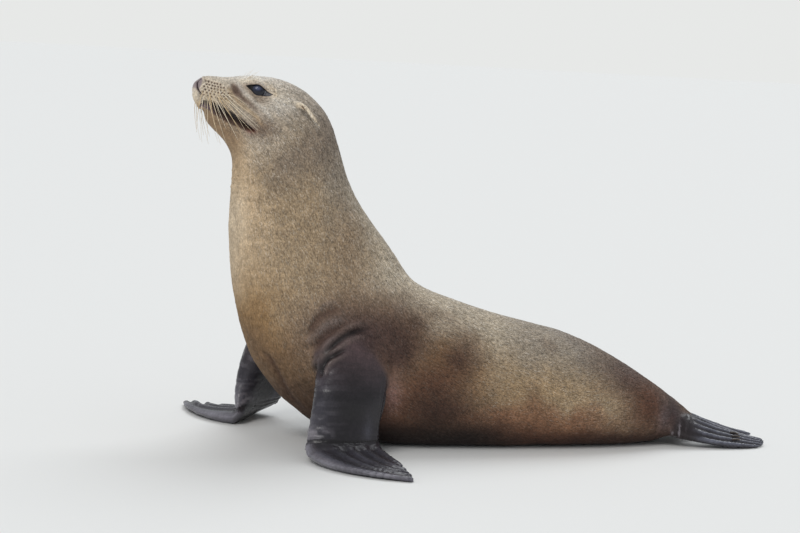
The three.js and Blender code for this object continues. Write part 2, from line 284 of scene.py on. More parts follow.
def store(mesh, name, kind, values):
    layer = mesh.attributes.new(name, kind, "POINT")
    field = {"FLOAT": "value", "FLOAT_VECTOR": "vector", "FLOAT_COLOR": "color"}[kind]
    layer.data.foreach_set(field, np.ascontiguousarray(values, np.float32).ravel())


def colour_layer(mesh, colours):
    """Colours given as they look (sRGB, 0 to 1), kept as light."""
    light = np.where(colours <= 0.04045, colours / 12.92, ((np.maximum(colours, 0) + 0.055) / 1.055) ** 2.4)
    store(mesh, "Markings", "FLOAT_COLOR", np.column_stack([light, np.ones(len(light))]))


def linked(name, data):
    """A new object in the scene."""
    made = bpy.data.objects.new(name, data)
    bpy.context.scene.collection.objects.link(made)
    return made


def add(name, mesh, material):
    made = linked(name, mesh)
    mesh.materials.append(material)
    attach(made, "root")
    return made


def mesh_of(name, points, faces):
    mesh = bpy.data.meshes.new(name)
    mesh.from_pydata(to_frame(points).tolist(), [], [list(map(int, face)) for face in faces])
    mesh.validate()
    mesh.shade_smooth()
    return mesh


def triangle_mesh(name, points, triangles):
    """A mesh of many triangles, made quickly."""
    mesh = bpy.data.meshes.new(name)
    mesh.vertices.add(len(points))
    place(mesh, points)
    mesh.loops.add(triangles.size)
    mesh.loops.foreach_set("vertex_index", triangles.astype(np.int32).ravel())
    mesh.polygons.add(len(triangles))
    mesh.polygons.foreach_set("loop_start", np.arange(0, triangles.size, 3, dtype=np.int32))
    mesh.update(calc_edges=True)
    mesh.shade_smooth()
    return mesh


def tubes(centres, sides, widths, around=6, tip=0.15):
    """Closed tapering tubes along lines: centres is (tube, step, xyz), sides a direction across each
    tube and widths its radius at each step. Returns points and triangles."""
    count, steps, _ = centres.shape
    along = unit(np.gradient(centres, axis=1))
    across = unit(np.cross(along, sides[:, None]))
    other = np.cross(along, across)
    angle = np.arange(around) * 2 * math.pi / around
    ring = across[:, :, None] * np.cos(angle)[:, None] + other[:, :, None] * np.sin(angle)[:, None]
    walls = centres[:, :, None] + ring * widths[:, :, None, None]
    tips = np.array([-tip, tip])[:, None]
    ends = centres[:, [0, -1]] + along[:, [0, -1]] * widths[:, [0, -1], None] * tips
    points = np.concatenate([walls.reshape(count, -1, 3), ends], 1)
    per = steps * around + 2
    faces = []
    for k in range(around):
        n = (k + 1) % around
        faces.append((per - 2, n, k))
        last = (steps - 1) * around
        faces.append((per - 1, last + k, last + n))
        for i in range(steps - 1):
            a, b = i * around + k, i * around + n
            faces += [(a, b, b + around), (a, b + around, a + around)]
    faces = np.array(faces)[None] + (np.arange(count) * per)[:, None, None]
    return points.reshape(-1, 3), faces.reshape(-1, 3)


# ---------------------------------------------------------------- the skin's base

SKIN_NODES = sorted(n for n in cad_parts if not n.startswith(("eye", "claw")))
TRUNK_NODES = ["head", "lower_jaw", "nose", "neck", "chest", "belly", "rump", "tail"]


def joined(nodes, swell=0.0):
    """Copies of some CAD nodes in one mesh, the corners of each joined, each swollen by some millimetres."""
    whole = bmesh.new()
    for node in nodes:
        work = bmesh.new()
        work.from_mesh(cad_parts[node].data)
        bmesh.ops.remove_doubles(work, verts=work.verts, dist=1e-5)
        bmesh.ops.recalc_face_normals(work, faces=work.faces)
        for vertex in work.verts:
            vertex.co += vertex.normal * swell / 1000
        part = bpy.data.meshes.new(node)
        work.to_mesh(part)
        work.free()
        whole.from_mesh(part)
        bpy.data.meshes.remove(part)
    return whole


def remeshed_flesh():
    """All the flesh nodes and the eyes, swollen a little and joined as one even mesh."""
    whole = joined(SKIN_NODES + ["eye_left", "eye_right"], SEAM)
    mesh = bpy.data.meshes.new("flesh")
    whole.to_mesh(mesh)
    whole.free()
    flesh = linked("flesh", mesh)
    remesh = flesh.modifiers.new("even", "REMESH")
    remesh.mode = "VOXEL"
    remesh.voxel_size = VOXEL / 1000
    made = bpy.data.meshes.new_from_object(flesh.evaluated_get(bpy.context.evaluated_depsgraph_get()))
    bpy.data.objects.remove(flesh)
    keep_largest(made)
    return made


def keep_largest(mesh):
    """Deletes all but the largest of the mesh's separate parts."""
    work = bmesh.new()
    work.from_mesh(mesh)
    unseen = set(work.verts)
    groups = []
    while unseen:
        group, edge = set(), [unseen.pop()]
        while edge:
            vertex = edge.pop()
            group.add(vertex)
            for link in vertex.link_edges:
                other = link.other_vert(vertex)
                if other in unseen:
                    unseen.discard(other)
                    edge.append(other)
        groups.append(group)
    for group in sorted(groups, key=len)[:-1]:
        bmesh.ops.delete(work, geom=list(group), context="VERTS")
    work.to_mesh(mesh)
    work.free()


def relax(mesh, points, passes, shrink=True):
    """Smooths the mesh's points along its edges, each by its own number of passes."""
    edges = rows(mesh.edges, "vertices", 2, np.int32)
    moving = np.flatnonzero(passes > 0)
    both = np.concatenate([edges, edges[:, ::-1]])
    both = both[passes[both[:, 0]] > 0]
    both = both[np.argsort(both[:, 0], kind="stable")]
    start = np.searchsorted(both[:, 0], moving)
    valence = np.diff(np.append(start, len(both)))
    table = np.tile(moving[:, None], (1, valence.max()))
    rank = np.arange(len(both)) - np.repeat(start, valence)
    table[np.repeat(np.arange(len(moving)), valence), rank] = both[:, 1]
    spare = (valence.max() - valence)[:, None].astype(np.float32)
    valence = valence[:, None].astype(np.float32)
    current = points.astype(np.float32)
    for i in range(int(np.ceil(passes.max()))):
        rate = 0.8 * np.clip(passes[moving] - i, 0, 1)
        for sign in (1,) if shrink else (1, -1.04):
            here = current[moving]
            mean = (current[table].sum(1) - spare * here) / valence
            current[moving] = here + (mean - here) * (sign * rate[:, None]).astype(np.float32)
    points = current.astype(float)
    place(mesh, points)
    return points


def subdivided(mesh, chosen):
    """Splits the faces whose corners are all chosen."""
    work = bmesh.new()
    work.from_mesh(mesh)
    work.verts.ensure_lookup_table()
    edges = [e for e in work.edges if chosen[e.verts[0].index] and chosen[e.verts[1].index]]
    bmesh.ops.subdivide_edges(work, edges=edges, cuts=1, use_grid_fill=True)
    work.to_mesh(mesh)
    work.free()


# ---------------------------------------------------------------- anatomy: coordinates on the skin

def section_at(points):
    """How far along the sections each point is, as a station number, and 0 to 1 from back to belly."""
    flat = points[:, 1:]
    ahead = np.stack([(flat - BACKS[i]) @ TAILWARD[i] for i in range(len(BACKS))], 1)
    station = np.where(ahead[:, 0] < 0, 0.0, len(BACKS) - 1.0)
    done = ahead[:, 0] < 0
    for i in range(len(BACKS) - 1):
        here = ~done & (ahead[:, i] >= 0) & (ahead[:, i + 1] < 0)
        station[here] = i + ahead[here, i] / (ahead[here, i] - ahead[here, i + 1])
        done |= here
    low = np.minimum(station.astype(int), len(BACKS) - 2)
    share = station - low
    back = mix(BACKS[low], BACKS[low + 1], share)
    belly = mix(BELLIES[low], BELLIES[low + 1], share)
    depth = ((flat - back) * (belly - back)).sum(1) / ((belly - back) ** 2).sum(1)
    tailward = unit(mix(TAILWARD[low], TAILWARD[low + 1], share))
    return station, np.arccos(np.clip(1 - 2 * depth, -1, 1)) / math.pi, tailward


class Anatomy:
    """Where each point of the skin is, in the animal's own terms."""

    def __init__(self, points, sheets, trunk):
        self.points = points
        self.x, self.y, self.z = points.T
        self.side = np.abs(self.x)
        self.f, self.u = -self.y, self.z - EYE_UP
        self.arm_y = self.y + np.where(self.x > 0, 0, ARM_AHEAD)
        self.station, self.girdle, tailward = section_at(points)
        on_head = (self.station < PLACE["nape"]) & (self.side > 20)
        self.by_eye = np.flatnonzero(on_head & (np.hypot(self.f, self.u) < 52))
        self.off_trunk = np.array([trunk.find_nearest(p)[3] for p in points])
        self.limb = np.full(len(points), "", dtype="<U5")
        self.lane_u, self.lane_v = np.zeros(len(points)), np.full(len(points), 0.5)
        self.lane_away = np.full(len(points), 999.0)
        self.lie = np.column_stack([np.zeros(len(points)), tailward])
        self.tailward = self.lie.copy()
        for (kind, _), sheet in sheets.items():
            low, high = sheet.points.min(0) - 70, sheet.points.max(0) + 70
            near = np.flatnonzero(((points > low) & (points < high)).all(1))
            u, v, along, away = sheet.find(points[near])
            closer = away < self.lane_away[near]
            chosen = near[closer]
            self.limb[chosen] = kind
            self.lane_u[chosen], self.lane_v[chosen] = u[closer], v[closer]
            self.lane_away[chosen] = away[closer]
            share = smooth(1, 24, self.off_trunk[chosen]) * smooth(70, 45, away[closer])
            self.lie[chosen] = mix(self.tailward[chosen], along[closer], share)
        # From 0 on the trunk to 1 clear of it, for the foreflippers and for the hind flippers.
        clear = smooth(2, 16, self.off_trunk)
        self.fore = np.where(self.limb == "fore", clear, 0)
        self.hind = np.where(self.limb == "hind", clear, 0)


# ---------------------------------------------------------------- relief

# The lids' edges in [f, u], from the rear corner to the front one: the upper is highest before its middle.
UPPER_LID = curve([(-30, -5), (-20, -1), (-10, 5.5), (2, 13.2), (14, 12.4), (25, 9.6)])
LOWER_LID = curve([(-30, -5), (-20, -8.8), (-6, -8.6), (8, -7), (17, 1.5), (25, 9.6)])
LID_THICK = 2.0
SOCKET_DEPTH = 5.0


def eye_opening(f, u):
    """Distance to the edge of the eye's opening, less than zero inside it, the height above its middle,
    and how far from the rear corner, -1, to the front one, 1."""
    top = np.interp(f, UPPER_LID[:, 0], UPPER_LID[:, 1])
    bottom = np.interp(f, LOWER_LID[:, 0], LOWER_LID[:, 1])
    rear, front = UPPER_LID[0, 0], UPPER_LID[-1, 0]
    away, _ = to_line(np.column_stack([f, u]), np.vstack([UPPER_LID, LOWER_LID[::-1]]))
    inside = (f > rear) & (f < front) & (u < top) & (u > bottom)
    return np.where(inside, -away, away), u - (top + bottom) / 2, 2 * (f - rear) / (front - rear) - 1


# The mouth's line from the corner to the lip, as f, u and half the height of the opening.
MOUTH = curve([(2, -86, 0.3), (16, -80, 6), (36, -69, 10.5), (60, -57, 13), (82, -46, 12.5),
               (100, -37, 10.5), (112, -33, 8), (124, -33, 8)])
LIP_FRONT = 116                 # f of the opening's front end at its top; the upper lip hangs before it
LIP_HANG = -45                  # u of that lip's lower edge
NOSTRIL = curve([(119.5, 18), (125.5, 13), (127, 5), (125, -4), (119.5, -12)])
GROOVE = curve([(52, 8), (46, -4), (36, -14), (18, -29), (0, -43), (-12, -58)])
BROW = curve([(36, 17), (8, 21), (-11, 18), (-25, 9), (-34, -4)])
EAR_SLIT = curve([(-90, -26), (-102, -43), (-114, -53)])
EAR_RIDGE = curve([(-56, -20), (-76, -19), (-92, -24), (-105, -38), (-116, -54), (-127, -67)])
# Folds of the left shoulder in [y, z], each with its depth and its width.
SHOULDER_FOLDS = [
    (curve([(112, 240), (137, 290), (196, 318)]), 4.0, 9),
    (curve([(122, 214), (151, 256), (212, 281)]), 6.0, 7),
    (curve([(130, 190), (158, 234), (202, 262), (258, 268)]), 7.0, 6),
    (curve([(132, 166), (137, 193), (156, 214), (205, 238)]), 8.0, 4.5),
    (curve([(262, 262), (296, 232), (304, 190), (300, 150)]), 4.0, 11),
]
# Folds down the front of the chest, the same way.
CHEST_FOLDS = [
    (curve([(26, 212), (50, 186), (71, 150), (94, 111), (119, 85), (141, 65)]), 3.2, 4.5),
    (curve([(52, 205), (104, 134), (150, 80)]), 1.4, 5),
]
THROAT_CREASE_EVERY = 19
# How fast wrinkles follow one another: radians along or across a whole flipper, or from section to section.
ARM_WRINKLES, REAR_PLEATS, BLADE_LINES, ANKLE_WRINKLES, RUMP_WRINKLES = 240, 95, 130, 95, 14


def mouth_at(f, u):
    """The opening's half height beside each point, and how far the point is above its middle line."""
    half = np.interp(f, MOUTH[:, 0], MOUTH[:, 2], left=0)
    return half, u - np.interp(f, MOUTH[:, 0], MOUTH[:, 1])


def fold(places, line, width, ends, beside):
    """How much each place is in a fold, and in the swelling that runs beside it, some widths away. A fold
    starts between the first two of its ends, as shares of its length, and fades from the third."""
    away, share = to_line(places, line)
    shown = smooth(ends[0], ends[1], share) * smooth(1, ends[2], share)
    return bump(away, width) * shown, bump(away - beside * width, width) * shown


def ankle_wave(a):
    return np.sin(a.lane_u * ANKLE_WRINKLES + 3 * noise(a.points, 25, 11))


def relief(a, normal):
    """The skin's points with its folds and features, and how much of each feature is at each point."""
    points = a.points
    out = np.zeros(len(points))            # along the normal
    sideways = np.zeros(len(points))       # away from the middle plane
    head = a.station < PLACE["nape"] + 0.5
    lateral = head & (a.side > 4)
    flat = np.column_stack([a.f, a.u])

    def near(line, width, chosen):
        """The bump of each chosen point to a line on the head's side, and the share along it."""
        value, share = np.zeros((2, len(points)))
        index = np.flatnonzero(chosen)
        away, share[index] = to_line(flat[index], line)
        value[index] = bump(away, width)
        return value, share

    # Eyes: lids laid over the ball, a rim round the opening, and the opening sunk behind the ball.
    f, u, side = a.f[a.by_eye], a.u[a.by_eye], a.side[a.by_eye]
    opening, above, along = eye_opening(f, u)
    rho = np.hypot(f, u)
    ball = EYE_SIDE + np.sqrt(np.maximum((EYE_RADIUS + LID_THICK) ** 2 - rho**2, 0))
    lid = np.where(rho < EYE_RADIUS + LID_THICK - 2, np.maximum(side, ball), side)
    lid = mix(side, lid, smooth(9, 3, opening))
    lid += 0.9 * bump(opening - 1.6, 1.5) * smooth(-0.5, 0.5, opening)
    lid -= np.where(above > 0, 1.7, 0.9) * bump(opening - 6.0, 1.8) + 0.5 * bump(opening - 10.5, 1.6)
    sunk = lid - mix(1.8, SOCKET_DEPTH, smooth(1.0, 0.5, np.abs(along)))
    sideways[a.by_eye] = mix(sunk, lid, smooth(-1.1, 0.2, opening)) - side

    # Mouth: a recess, deepest under the upper lip, from which the lower one slopes out; before it the
    # upper lip hangs down over the front of the jaw.
    half, above = mouth_at(a.f, a.u)
    open_share = smooth(0.3, 3, half) * smooth(1, 16, a.f)
    upper = smooth(half + 0.4, half - 1.6, above)
    lower = smooth(-half - 1.5, 0.4 * half, above)
    behind_front = smooth(0.8, -1.2, a.f - LIP_FRONT - 0.38 * (-27 - a.u))
    recess = np.where(head, open_share * upper * lower * behind_front, 0)
    opened = np.where(head, open_share * upper * smooth(-half - 3, -half + 3, above) * behind_front, 0)
    out -= recess * mix(11.0, 6.0, smooth(78, 104, a.f))
    out += 2.0 * bump(above - half - 3.5, 4.2) * open_share * behind_front * head
    out += 1.4 * bump(above + half + 7, 5) * open_share * smooth(106, 90, a.f) * head
    under_lip = within(a.u, LIP_HANG - 32, LIP_HANG - 8, LIP_HANG - 2.5, LIP_HANG + 1)
    out -= 6.0 * under_lip * smooth(90, 106, a.f) * head
    out -= 1.8 * bump(a.x, 1.6) * smooth(118, 128, a.f) * within(a.u, -30, -22, -4, 4)

    # Nose: nostrils, and a low step round the pad.
    by_nose = lateral & (a.side < 30)
    nostril = near(NOSTRIL, 1.7, by_nose & (a.f > 108))[0] * smooth(4, 8, a.side)
    out -= 4.5 * nostril
    out += 1.6 * near(NOSTRIL + (-7, 1), 5.0, by_nose & (a.f > 95))[0] * smooth(4, 8, a.side)
    pad_at = np.sqrt((a.x / 21) ** 2 + ((a.f - 126) / 18) ** 2 + ((a.u - 6) / 19) ** 2)
    out -= 0.8 * bump(pad_at - 1.05, 0.09) * head

    # Follicles of the whisker pad.
    pit, ring = np.zeros((2, len(points)))
    pad = np.flatnonzero(head & (a.side > 10) & (a.f > 40) & (a.f < 128) & (a.u > -36) & (a.u < 24))
    for root_f, root_u, _, _ in FOLLICLES:
        away = np.hypot(a.f[pad] - root_f, a.u[pad] - root_u)
        pit[pad] = np.maximum(pit[pad], bump(away, 1.9))
        ring[pad] = np.maximum(ring[pad], bump(away - 3.6, 1.5))
    out += 1.1 * ring - 1.3 * pit

    # Face: hollow and groove behind the whisker pad, brow, folds under the eye, ears.
    hollow = bump(np.hypot(a.f - 46, a.u + 1), 12) * lateral
    groove, share = near(GROOVE, 4.5, lateral)
    groove *= smooth(1, 0.4, share)
    band, _ = near(GROOVE + (8, -8), 5, lateral)
    behind, _ = near(GROOVE + (-10, 6), 4, lateral)
    brow, _ = near(BROW, 6, lateral)
    slit, _ = near(EAR_SLIT, 1.6, head & (a.side > 60))
    ridge, _ = near(EAR_RIDGE, 3.2, head & (a.side > 50))
    out += 1.4 * band + behind * smooth(1, 0.7, share) + 1.3 * brow + 1.8 * ridge
    out -= 2.2 * hollow + 2.6 * groove + 3.0 * slit
    for k, (drop, deep) in enumerate([(-19, 0.7), (-23, 0.6), (-28, 0.5)]):
        line = curve([(14 + 2 * k, drop + 2), (-4, drop - 1), (-26, drop + 6)])
        out -= deep * near(line, 1.5, lateral & (a.side > 20))[0]

    # Throat: a few shallow creases across the top of it.
    throat = past("brow", "crown", a.station) * smooth(PLACE["nape"] + 0.5, PLACE["nape"], a.station)
    crease = np.sin(a.z * 2 * math.pi / THROAT_CREASE_EVERY + 1.5 * noise(points, 60, 3))
    out -= 0.45 * throat * smooth(0.6, 0.9, a.girdle) * smooth(0.55, 1, crease)

    # Shoulder: folds over the arm, on each side where that arm is. The narrow ones lie further out.
    yz = np.column_stack([a.arm_y, a.z])
    flank = np.flatnonzero((a.side > 105) & (a.y > 20) & (a.y < 420) & (a.z > 70) & (a.z < 380))
    wobble = 1 + 0.25 * noise(points[flank], 30, 5)
    for line, deep, width in SHOULDER_FOLDS:
        outward = smooth(105, 130, a.side[flank]) if width > 5 else smooth(142, 160, a.side[flank])
        crease, beside = fold(yz[flank], line, width, (0, 0.18, 0.75), 2.0)
        out[flank] += deep * outward * (0.35 * beside - wobble * crease)
    chest = np.flatnonzero((a.side < 110) & (a.y > 10) & (a.y < 190) & (a.z > 40) & (a.z < 240))
    for line, deep, width in CHEST_FOLDS:
        crease, beside = fold(points[chest][:, 1:], line, width, (0, 0.2, 0.8), 2.2)
        out[chest] += deep * (0.3 * beside - crease)

    # Foreflippers: wrinkles across the arm, creases at the wrist, digits and webs on the blade.
    u, v = a.lane_u, a.lane_v
    top = normal[:, 2] > 0
    wave = np.sin(u * ARM_WRINKLES + 4 * noise(points, 40, 7) + 5 * v)
    wrinkle = smooth(0.2, 1, wave) * smooth(0.6, 0.1, v)
    out -= 0.8 * a.fore * within(u, 0.12, 0.2, 0.5, 0.6) * wrinkle
    pleat = smooth(0, 1, np.sin(v * REAR_PLEATS + 2.5 * noise(points, 30, 9)))
    out -= 1.8 * a.fore * smooth(0.8, 0.97, v) * within(u, 0.2, 0.3, 0.4, 0.52) * pleat
    for at, deep in ((0.47, 1.6), (0.505, 2.8), (0.535, 1.4)):
        out -= deep * a.fore * bump(u - at - 0.02 * v, 0.011)
    blade = top * a.fore * smooth(0.5, 0.62, u)
    digit = np.cos(2 * math.pi * DIGITS * v)
    out += 2.2 * blade * (bump(v, 0.09) - digit * smooth(0.08, 0.25, v))
    fine_line = smooth(0.3, 1, np.sin(v * BLADE_LINES + 3 * noise(points, 25, 4)))
    out -= 0.8 * blade * fine_line * smooth(0.25, 0.5, v)
    # Hind flippers: digits and webs, and a wrinkled ankle. The rims of all four are cut back between digits.
    out -= 2.4 * top * a.hind * smooth(0.3, 0.5, u) * digit
    out -= 1.3 * a.hind * within(u, 0.02, 0.1, 0.25, 0.45) * smooth(0.1, 1, ankle_wave(a))
    scallop = (0.5 + 0.5 * digit) * (11 * a.fore * smooth(0.2, 0.4, v) + 12 * a.hind) * smooth(0.8, 1, u)

    # Soft unevenness of the body.
    trunk = (1 - a.fore) * (1 - a.hind)
    lumps = 1.6 * noise(points, 95, 12) + 0.9 * noise(points, 42, 13)
    out += trunk * (past("crown", "neck", a.station) * lumps + 0.25 * noise(points, 9, 14))
    wave = np.sin(a.station * RUMP_WRINKLES + 2.5 * noise(points, 50, 15))
    rear = past("hip", "rump", a.station) * (1 - a.hind)
    out -= 1.1 * rear * smooth(0.2, 1, wave) * smooth(0.2, 0.5, a.girdle)

    moved = points + normal * out[:, None] - a.lie * scallop[:, None]
    moved[:, 0] += np.sign(points[:, 0]) * sideways
    moved[:, 2] = np.maximum(moved[:, 2], FLOOR_GAP)
    return moved, dict(recess=recess, opened=opened, nostril=nostril, pit=pit, ring=ring, wrinkle=wrinkle,
                       pad=smooth(1.08, 0.96, pad_at) * head, hollow=hollow, groove=groove, band=band,
                       behind=behind, brow=brow, slit=slit, ridge=ridge)


FOLLICLE_ROWS = 6


def follicles():
    """Each whisker's root: f, u, how low its row is and how far back in the row it is, both 0 to 1."""
    roots = []
    for row in range(FOLLICLE_ROWS):
        low = row / (FOLLICLE_ROWS - 1)
        front = mix(np.array([110.0, 15.0]), np.array([117.0, -13.0]), low)
        rear = mix(np.array([74.0, 8.0]), np.array([52.0, -21.0]), low)
        line = curve([front, (front + rear) / 2 + (0, -3 * low), rear], 60)
        count = 6 + round(3 * low)
        for k in range(count):
            share = (k + 0.5 * (row % 2) + 0.1) / count
            roots.append((*line[min(int(share * 60), 59)], low, share))
    return np.array(roots)


FOLLICLES = follicles()

# ---------------------------------------------------------------- markings

def colour(text):
    return np.array([int(text[i:i + 2], 16) for i in (0, 2, 4)]) / 255


CREAM = colour("e6d8c2")
FROST = colour("ddd6cc")        # pale hair; on the forehead's top it is partly painted light
ASH = colour("b9ac9c")          # the face
SILVER = colour("b1a38e")       # the back
SAND = colour("cbb190")         # the throat
TAN = colour("a38d71")          # the neck's and the trunk's sides
TAUPE = colour("8b7f72")        # the nape and the hips
GOLD = colour("9a7a54")
UMBER = colour("66503f")
RUST = colour("7d4c33")
BARK = colour("432e25")
PLUM = colour("49383a")         # thin hair over the shoulder
MAUVE = colour("5a494a")        # wrinkled skin
SLATE = colour("29262b")        # bare skin
# blue-grey of bare skin, and the painted highlights on its ridges, rims and streaks
BLUE_SKIN_AND_GLINT = colour("61636f")
PAINTED_SKY_REFLECTION = colour("6b7394")         # a painted reflection of the sky on the eye's upper front
WEAR_AND_GLINT = colour("8f8a90")         # worn skin, and painted highlight on wrinkles' tops
PINK = colour("8a4f47")
INK = colour("100d0e")
PAD = colour("8c7e81")          # the nose
HAW = colour("7c7c82")          # the third lid, in the eye's rear corner
LIP = colour("66565c")
NOSTRIL_DARK = colour("32262c")

# From back to belly: a pale back, a duller side and, from throat to belly, a sandy front that darkens, partly
# the coat's own tone and partly painted shade under the body.
BACK_SHADES = [("stop", ASH), ("brow", ASH), ("nape", TAUPE), ("withers", SILVER), ("breast", SILVER),
               ("waist", SILVER), ("croup", TAUPE), ("rump", UMBER)]
SIDE_SHADES = [("brow", ASH), ("nape", TAN), ("breast", TAN), ("brisket", GOLD), ("waist", TAN), ("hip", TAN),
               ("rump", UMBER), ("end", BARK)]
FRONT_SHADES = [("stop", SAND), ("crown", SAND), ("withers", SAND), ("breast", GOLD), ("ribs", UMBER),
                ("brisket", BARK)]


def ramp(station, stops):
    """A colour along the body from named sections."""
    places = [PLACE[name] for name, _ in stops]
    return np.stack([np.interp(station, places, [c[i] for _, c in stops]) for i in range(3)], 1)


def spot(across, up, wide, high):
    """1 at a zone's middle, falling off evenly to nothing."""
    return bump(np.hypot(across / wide, up / high), 1.0)


def markings(a, marks):
    """The colour of the skin and the coat at each point."""
    p, y = a.points, a.arm_y
    station = a.station + 0.35 * noise(p, 120, 21) + 0.15 * noise(p, 45, 22)
    girdle = np.clip(a.girdle + 0.05 * noise(p, 70, 23) + 0.03 * noise(p, 26, 24), 0, 1)
    c = mix(ramp(station, BACK_SHADES), ramp(station, SIDE_SHADES), smooth(0.22, 0.45, girdle))
    c = mix(c, ramp(station, FRONT_SHADES), smooth(0.58, 0.82, girdle))

    def tint(shade, share):
        nonlocal c
        c = mix(c, shade, np.clip(share, 0, 1))

    # Neck: its front is paler, partly the coat's tone and partly painted light, and the cheek's grey ends in
    # a dark peppered band.
    neck_front = smooth(0.72, 0.92, girdle) * past("crown", "neck", station) * past("breast", "neck", station)
    tint(mix(CREAM, SAND, 0.25), 0.62 * neck_front)
    pepper = smooth(PLACE["crown"] - 0.3, PLACE["nape"], station) * past("neck", "nape", station)
    tint(mix(TAUPE, UMBER, 0.2), 0.75 * pepper * smooth(0.72, 0.55, girdle))
    # Painted shade down the rear side of the neck.
    tint(UMBER, 0.3 * spot(a.y - 205, a.z - 450, 55, 120) * smooth(50, 75, a.side))
    # Painted highlight of the rim light along the back over the breast.
    tint(CREAM, 0.3 * spot(a.y - 323, a.z - 375, 90, 50))

    # Trunk: rusty low on the flank, dark behind the arm, at the hip and under the rump, with painted shade
    # low on the flank and under the body.
    outer = smooth(50, 75, a.side)
    rusty = past("ribs", "brisket", station) * past("rump", "croup", station)
    rusty *= within(girdle, 0.5, 0.62, 0.75, 0.92)
    tint(GOLD, 0.4 * spot(a.y - 600, a.z - 125, 120, 45))
    tint(RUST, 0.55 * rusty)
    patchy = 1 + 0.3 * noise(p, 40, 25)
    blotched = np.where(a.x > 0, 1.0, 0.6)
    tint(BARK, 0.95 * spot(y - 318, a.z - 235, 72, 76) * outer * patchy)
    tint(BARK, 0.85 * spot(y - 452, a.z - 210, 50, 46) * outer * patchy * blotched)
    # These two darken the low flank: partly the coat's own tone, partly painted shade.
    tint(mix(RUST, BARK, 0.6), 0.8 * spot(y - 395, a.z - 150, 72, 48) * outer)
    tint(mix(mix(RUST, BARK, 0.75), INK, 0.3), 0.95 * spot(y - 405, a.z - 92, 104, 54) * outer * blotched)
    tint(mix(PLUM, BARK, 0.35), spot(y - 212, a.z - 248, 104, 74) * smooth(95, 125, a.side))
    tint(mix(PLUM, UMBER, 0.4), 0.7 * spot(a.y - 885, a.z - 165, 75, 40))
    tint(mix(RUST, BARK, 0.55), 0.9 * spot(a.y - 925, a.z - 98, 62, 56))
    tint(mix(MAUVE, WEAR_AND_GLINT, 0.3), 0.7 * spot(a.y - 960, a.z - 68, 20, 42) * (a.side > 40))
    tint(mix(PLUM, INK, 0.25), 0.85 * spot(a.y - 992, a.z - 78, 26, 36))
    # The underside darkens: partly the belly's darker coat, partly painted shade under the body.
    tint(BARK, 0.85 * smooth(0.64, 0.86, girdle) * past("ribs", "brisket", station))
    # Painted shadow low on the body behind the arms, near the floor.
    tint(INK, 0.6 * smooth(85, 35, a.z) * within(y, 190, 260, 480, 620) * (1 - a.fore))

    # Blotches and grizzle.
    blotch = smooth(0.15, 0.75, noise(p, 48, 26)) * past("withers", "ribs", a.station)
    tint(UMBER, 0.22 * blotch * smooth(0.9, 0.5, a.girdle))
    c = c * (1 + 0.07 * noise(p, 11, 27) + 0.06 * noise(p, 5, 28))[:, None]

    # Foreflippers: thin dark hair above, then bare skin with a blue-grey leading rim. The pale ridges and rim
    # are partly painted highlight; the streak down the front and the spot at the wrist's rear are painted
    # highlights.
    u, v = a.lane_u, a.lane_v
    skin = mix(mix(PLUM, MAUVE, 0.3), SLATE, smooth(0.12, 0.32, u))
    ridge = 0.5 - 0.5 * np.cos(2 * math.pi * DIGITS * v)
    # Painted highlights among these: the front streak, the spot at the wrist's rear and, in part, the ridges
    # and the rim.
    for shade, share in ((BLUE_SKIN_AND_GLINT, 0.4 * ridge * smooth(0.55, 0.7, u)),
                         (BLUE_SKIN_AND_GLINT, 0.25 * bump(v - 0.14, 0.16) * within(u, 0.15, 0.3, 0.46, 0.54)),
                         (BLUE_SKIN_AND_GLINT, 0.45 * bump(v - 0.76, 0.07) * bump(u - 0.44, 0.07)),
                         (INK, 0.4 * bump(v - 0.5, 0.25) * bump(u - 0.34, 0.14)),
                         (mix(BLUE_SKIN_AND_GLINT, WEAR_AND_GLINT, 0.6), 0.95 * bump(v, 0.09) * smooth(0.3, 0.45, u))):
        skin = mix(skin, shade, share)
    skin *= (1 + 0.14 * noise(p, 34, 30) + 0.08 * noise(p, 9, 31))[:, None]
    c = mix(c, skin, a.fore * smooth(0.06, 0.18, u + 0.03 * noise(p, 30, 29)))
    # The tops of the arm's wrinkles are paler: partly worn skin, partly painted highlight.
    wrinkled = a.fore * marks["wrinkle"] * within(u, 0.16, 0.24, 0.42, 0.5)
    tint(WEAR_AND_GLINT, (0.2 + 0.15 * noise(p, 16, 35)) * wrinkled)
    worn = bump((u - 0.455) / 0.03, 1.0) * smooth(0.45, 0.05, v) * smooth(0.1, 0.6, noise(p, 10, 32) + 0.4)
    tint(WEAR_AND_GLINT, 0.75 * a.fore * worn)
    tint(INK, 0.7 * a.fore * bump(u - 0.505 - 0.02 * v, 0.014))
    tint(mix(WEAR_AND_GLINT, PINK, 0.5), 0.6 * spot(y - 300, a.z - 128, 26, 48) * outer * (1 - a.fore))

    # Hind flippers: ridged slate-blue over a wrinkled dark ankle; the pale ridges are partly painted
    # highlight, and the pale lines on the ankle's wrinkles are painted highlights.
    rear = mix(mix(SLATE, INK, 0.3), BLUE_SKIN_AND_GLINT, 0.05 + 0.95 * ridge * smooth(0.25, 0.5, u))
    rear = mix(mix(PLUM, INK, 0.6), rear, smooth(0.2, 0.42, u)) * (1 + 0.14 * noise(p, 20, 33))[:, None]
    c = mix(c, rear, a.hind * smooth(0.02, 0.2, u))
    # Painted highlights on the tops of the ankle's wrinkles.
    wrinkle_glint = smooth(0.6, 0.95, -ankle_wave(a))
    tint(WEAR_AND_GLINT, 0.8 * a.hind * bump(u - 0.17, 0.08) * wrinkle_glint * smooth(0.45, 0.75, v))

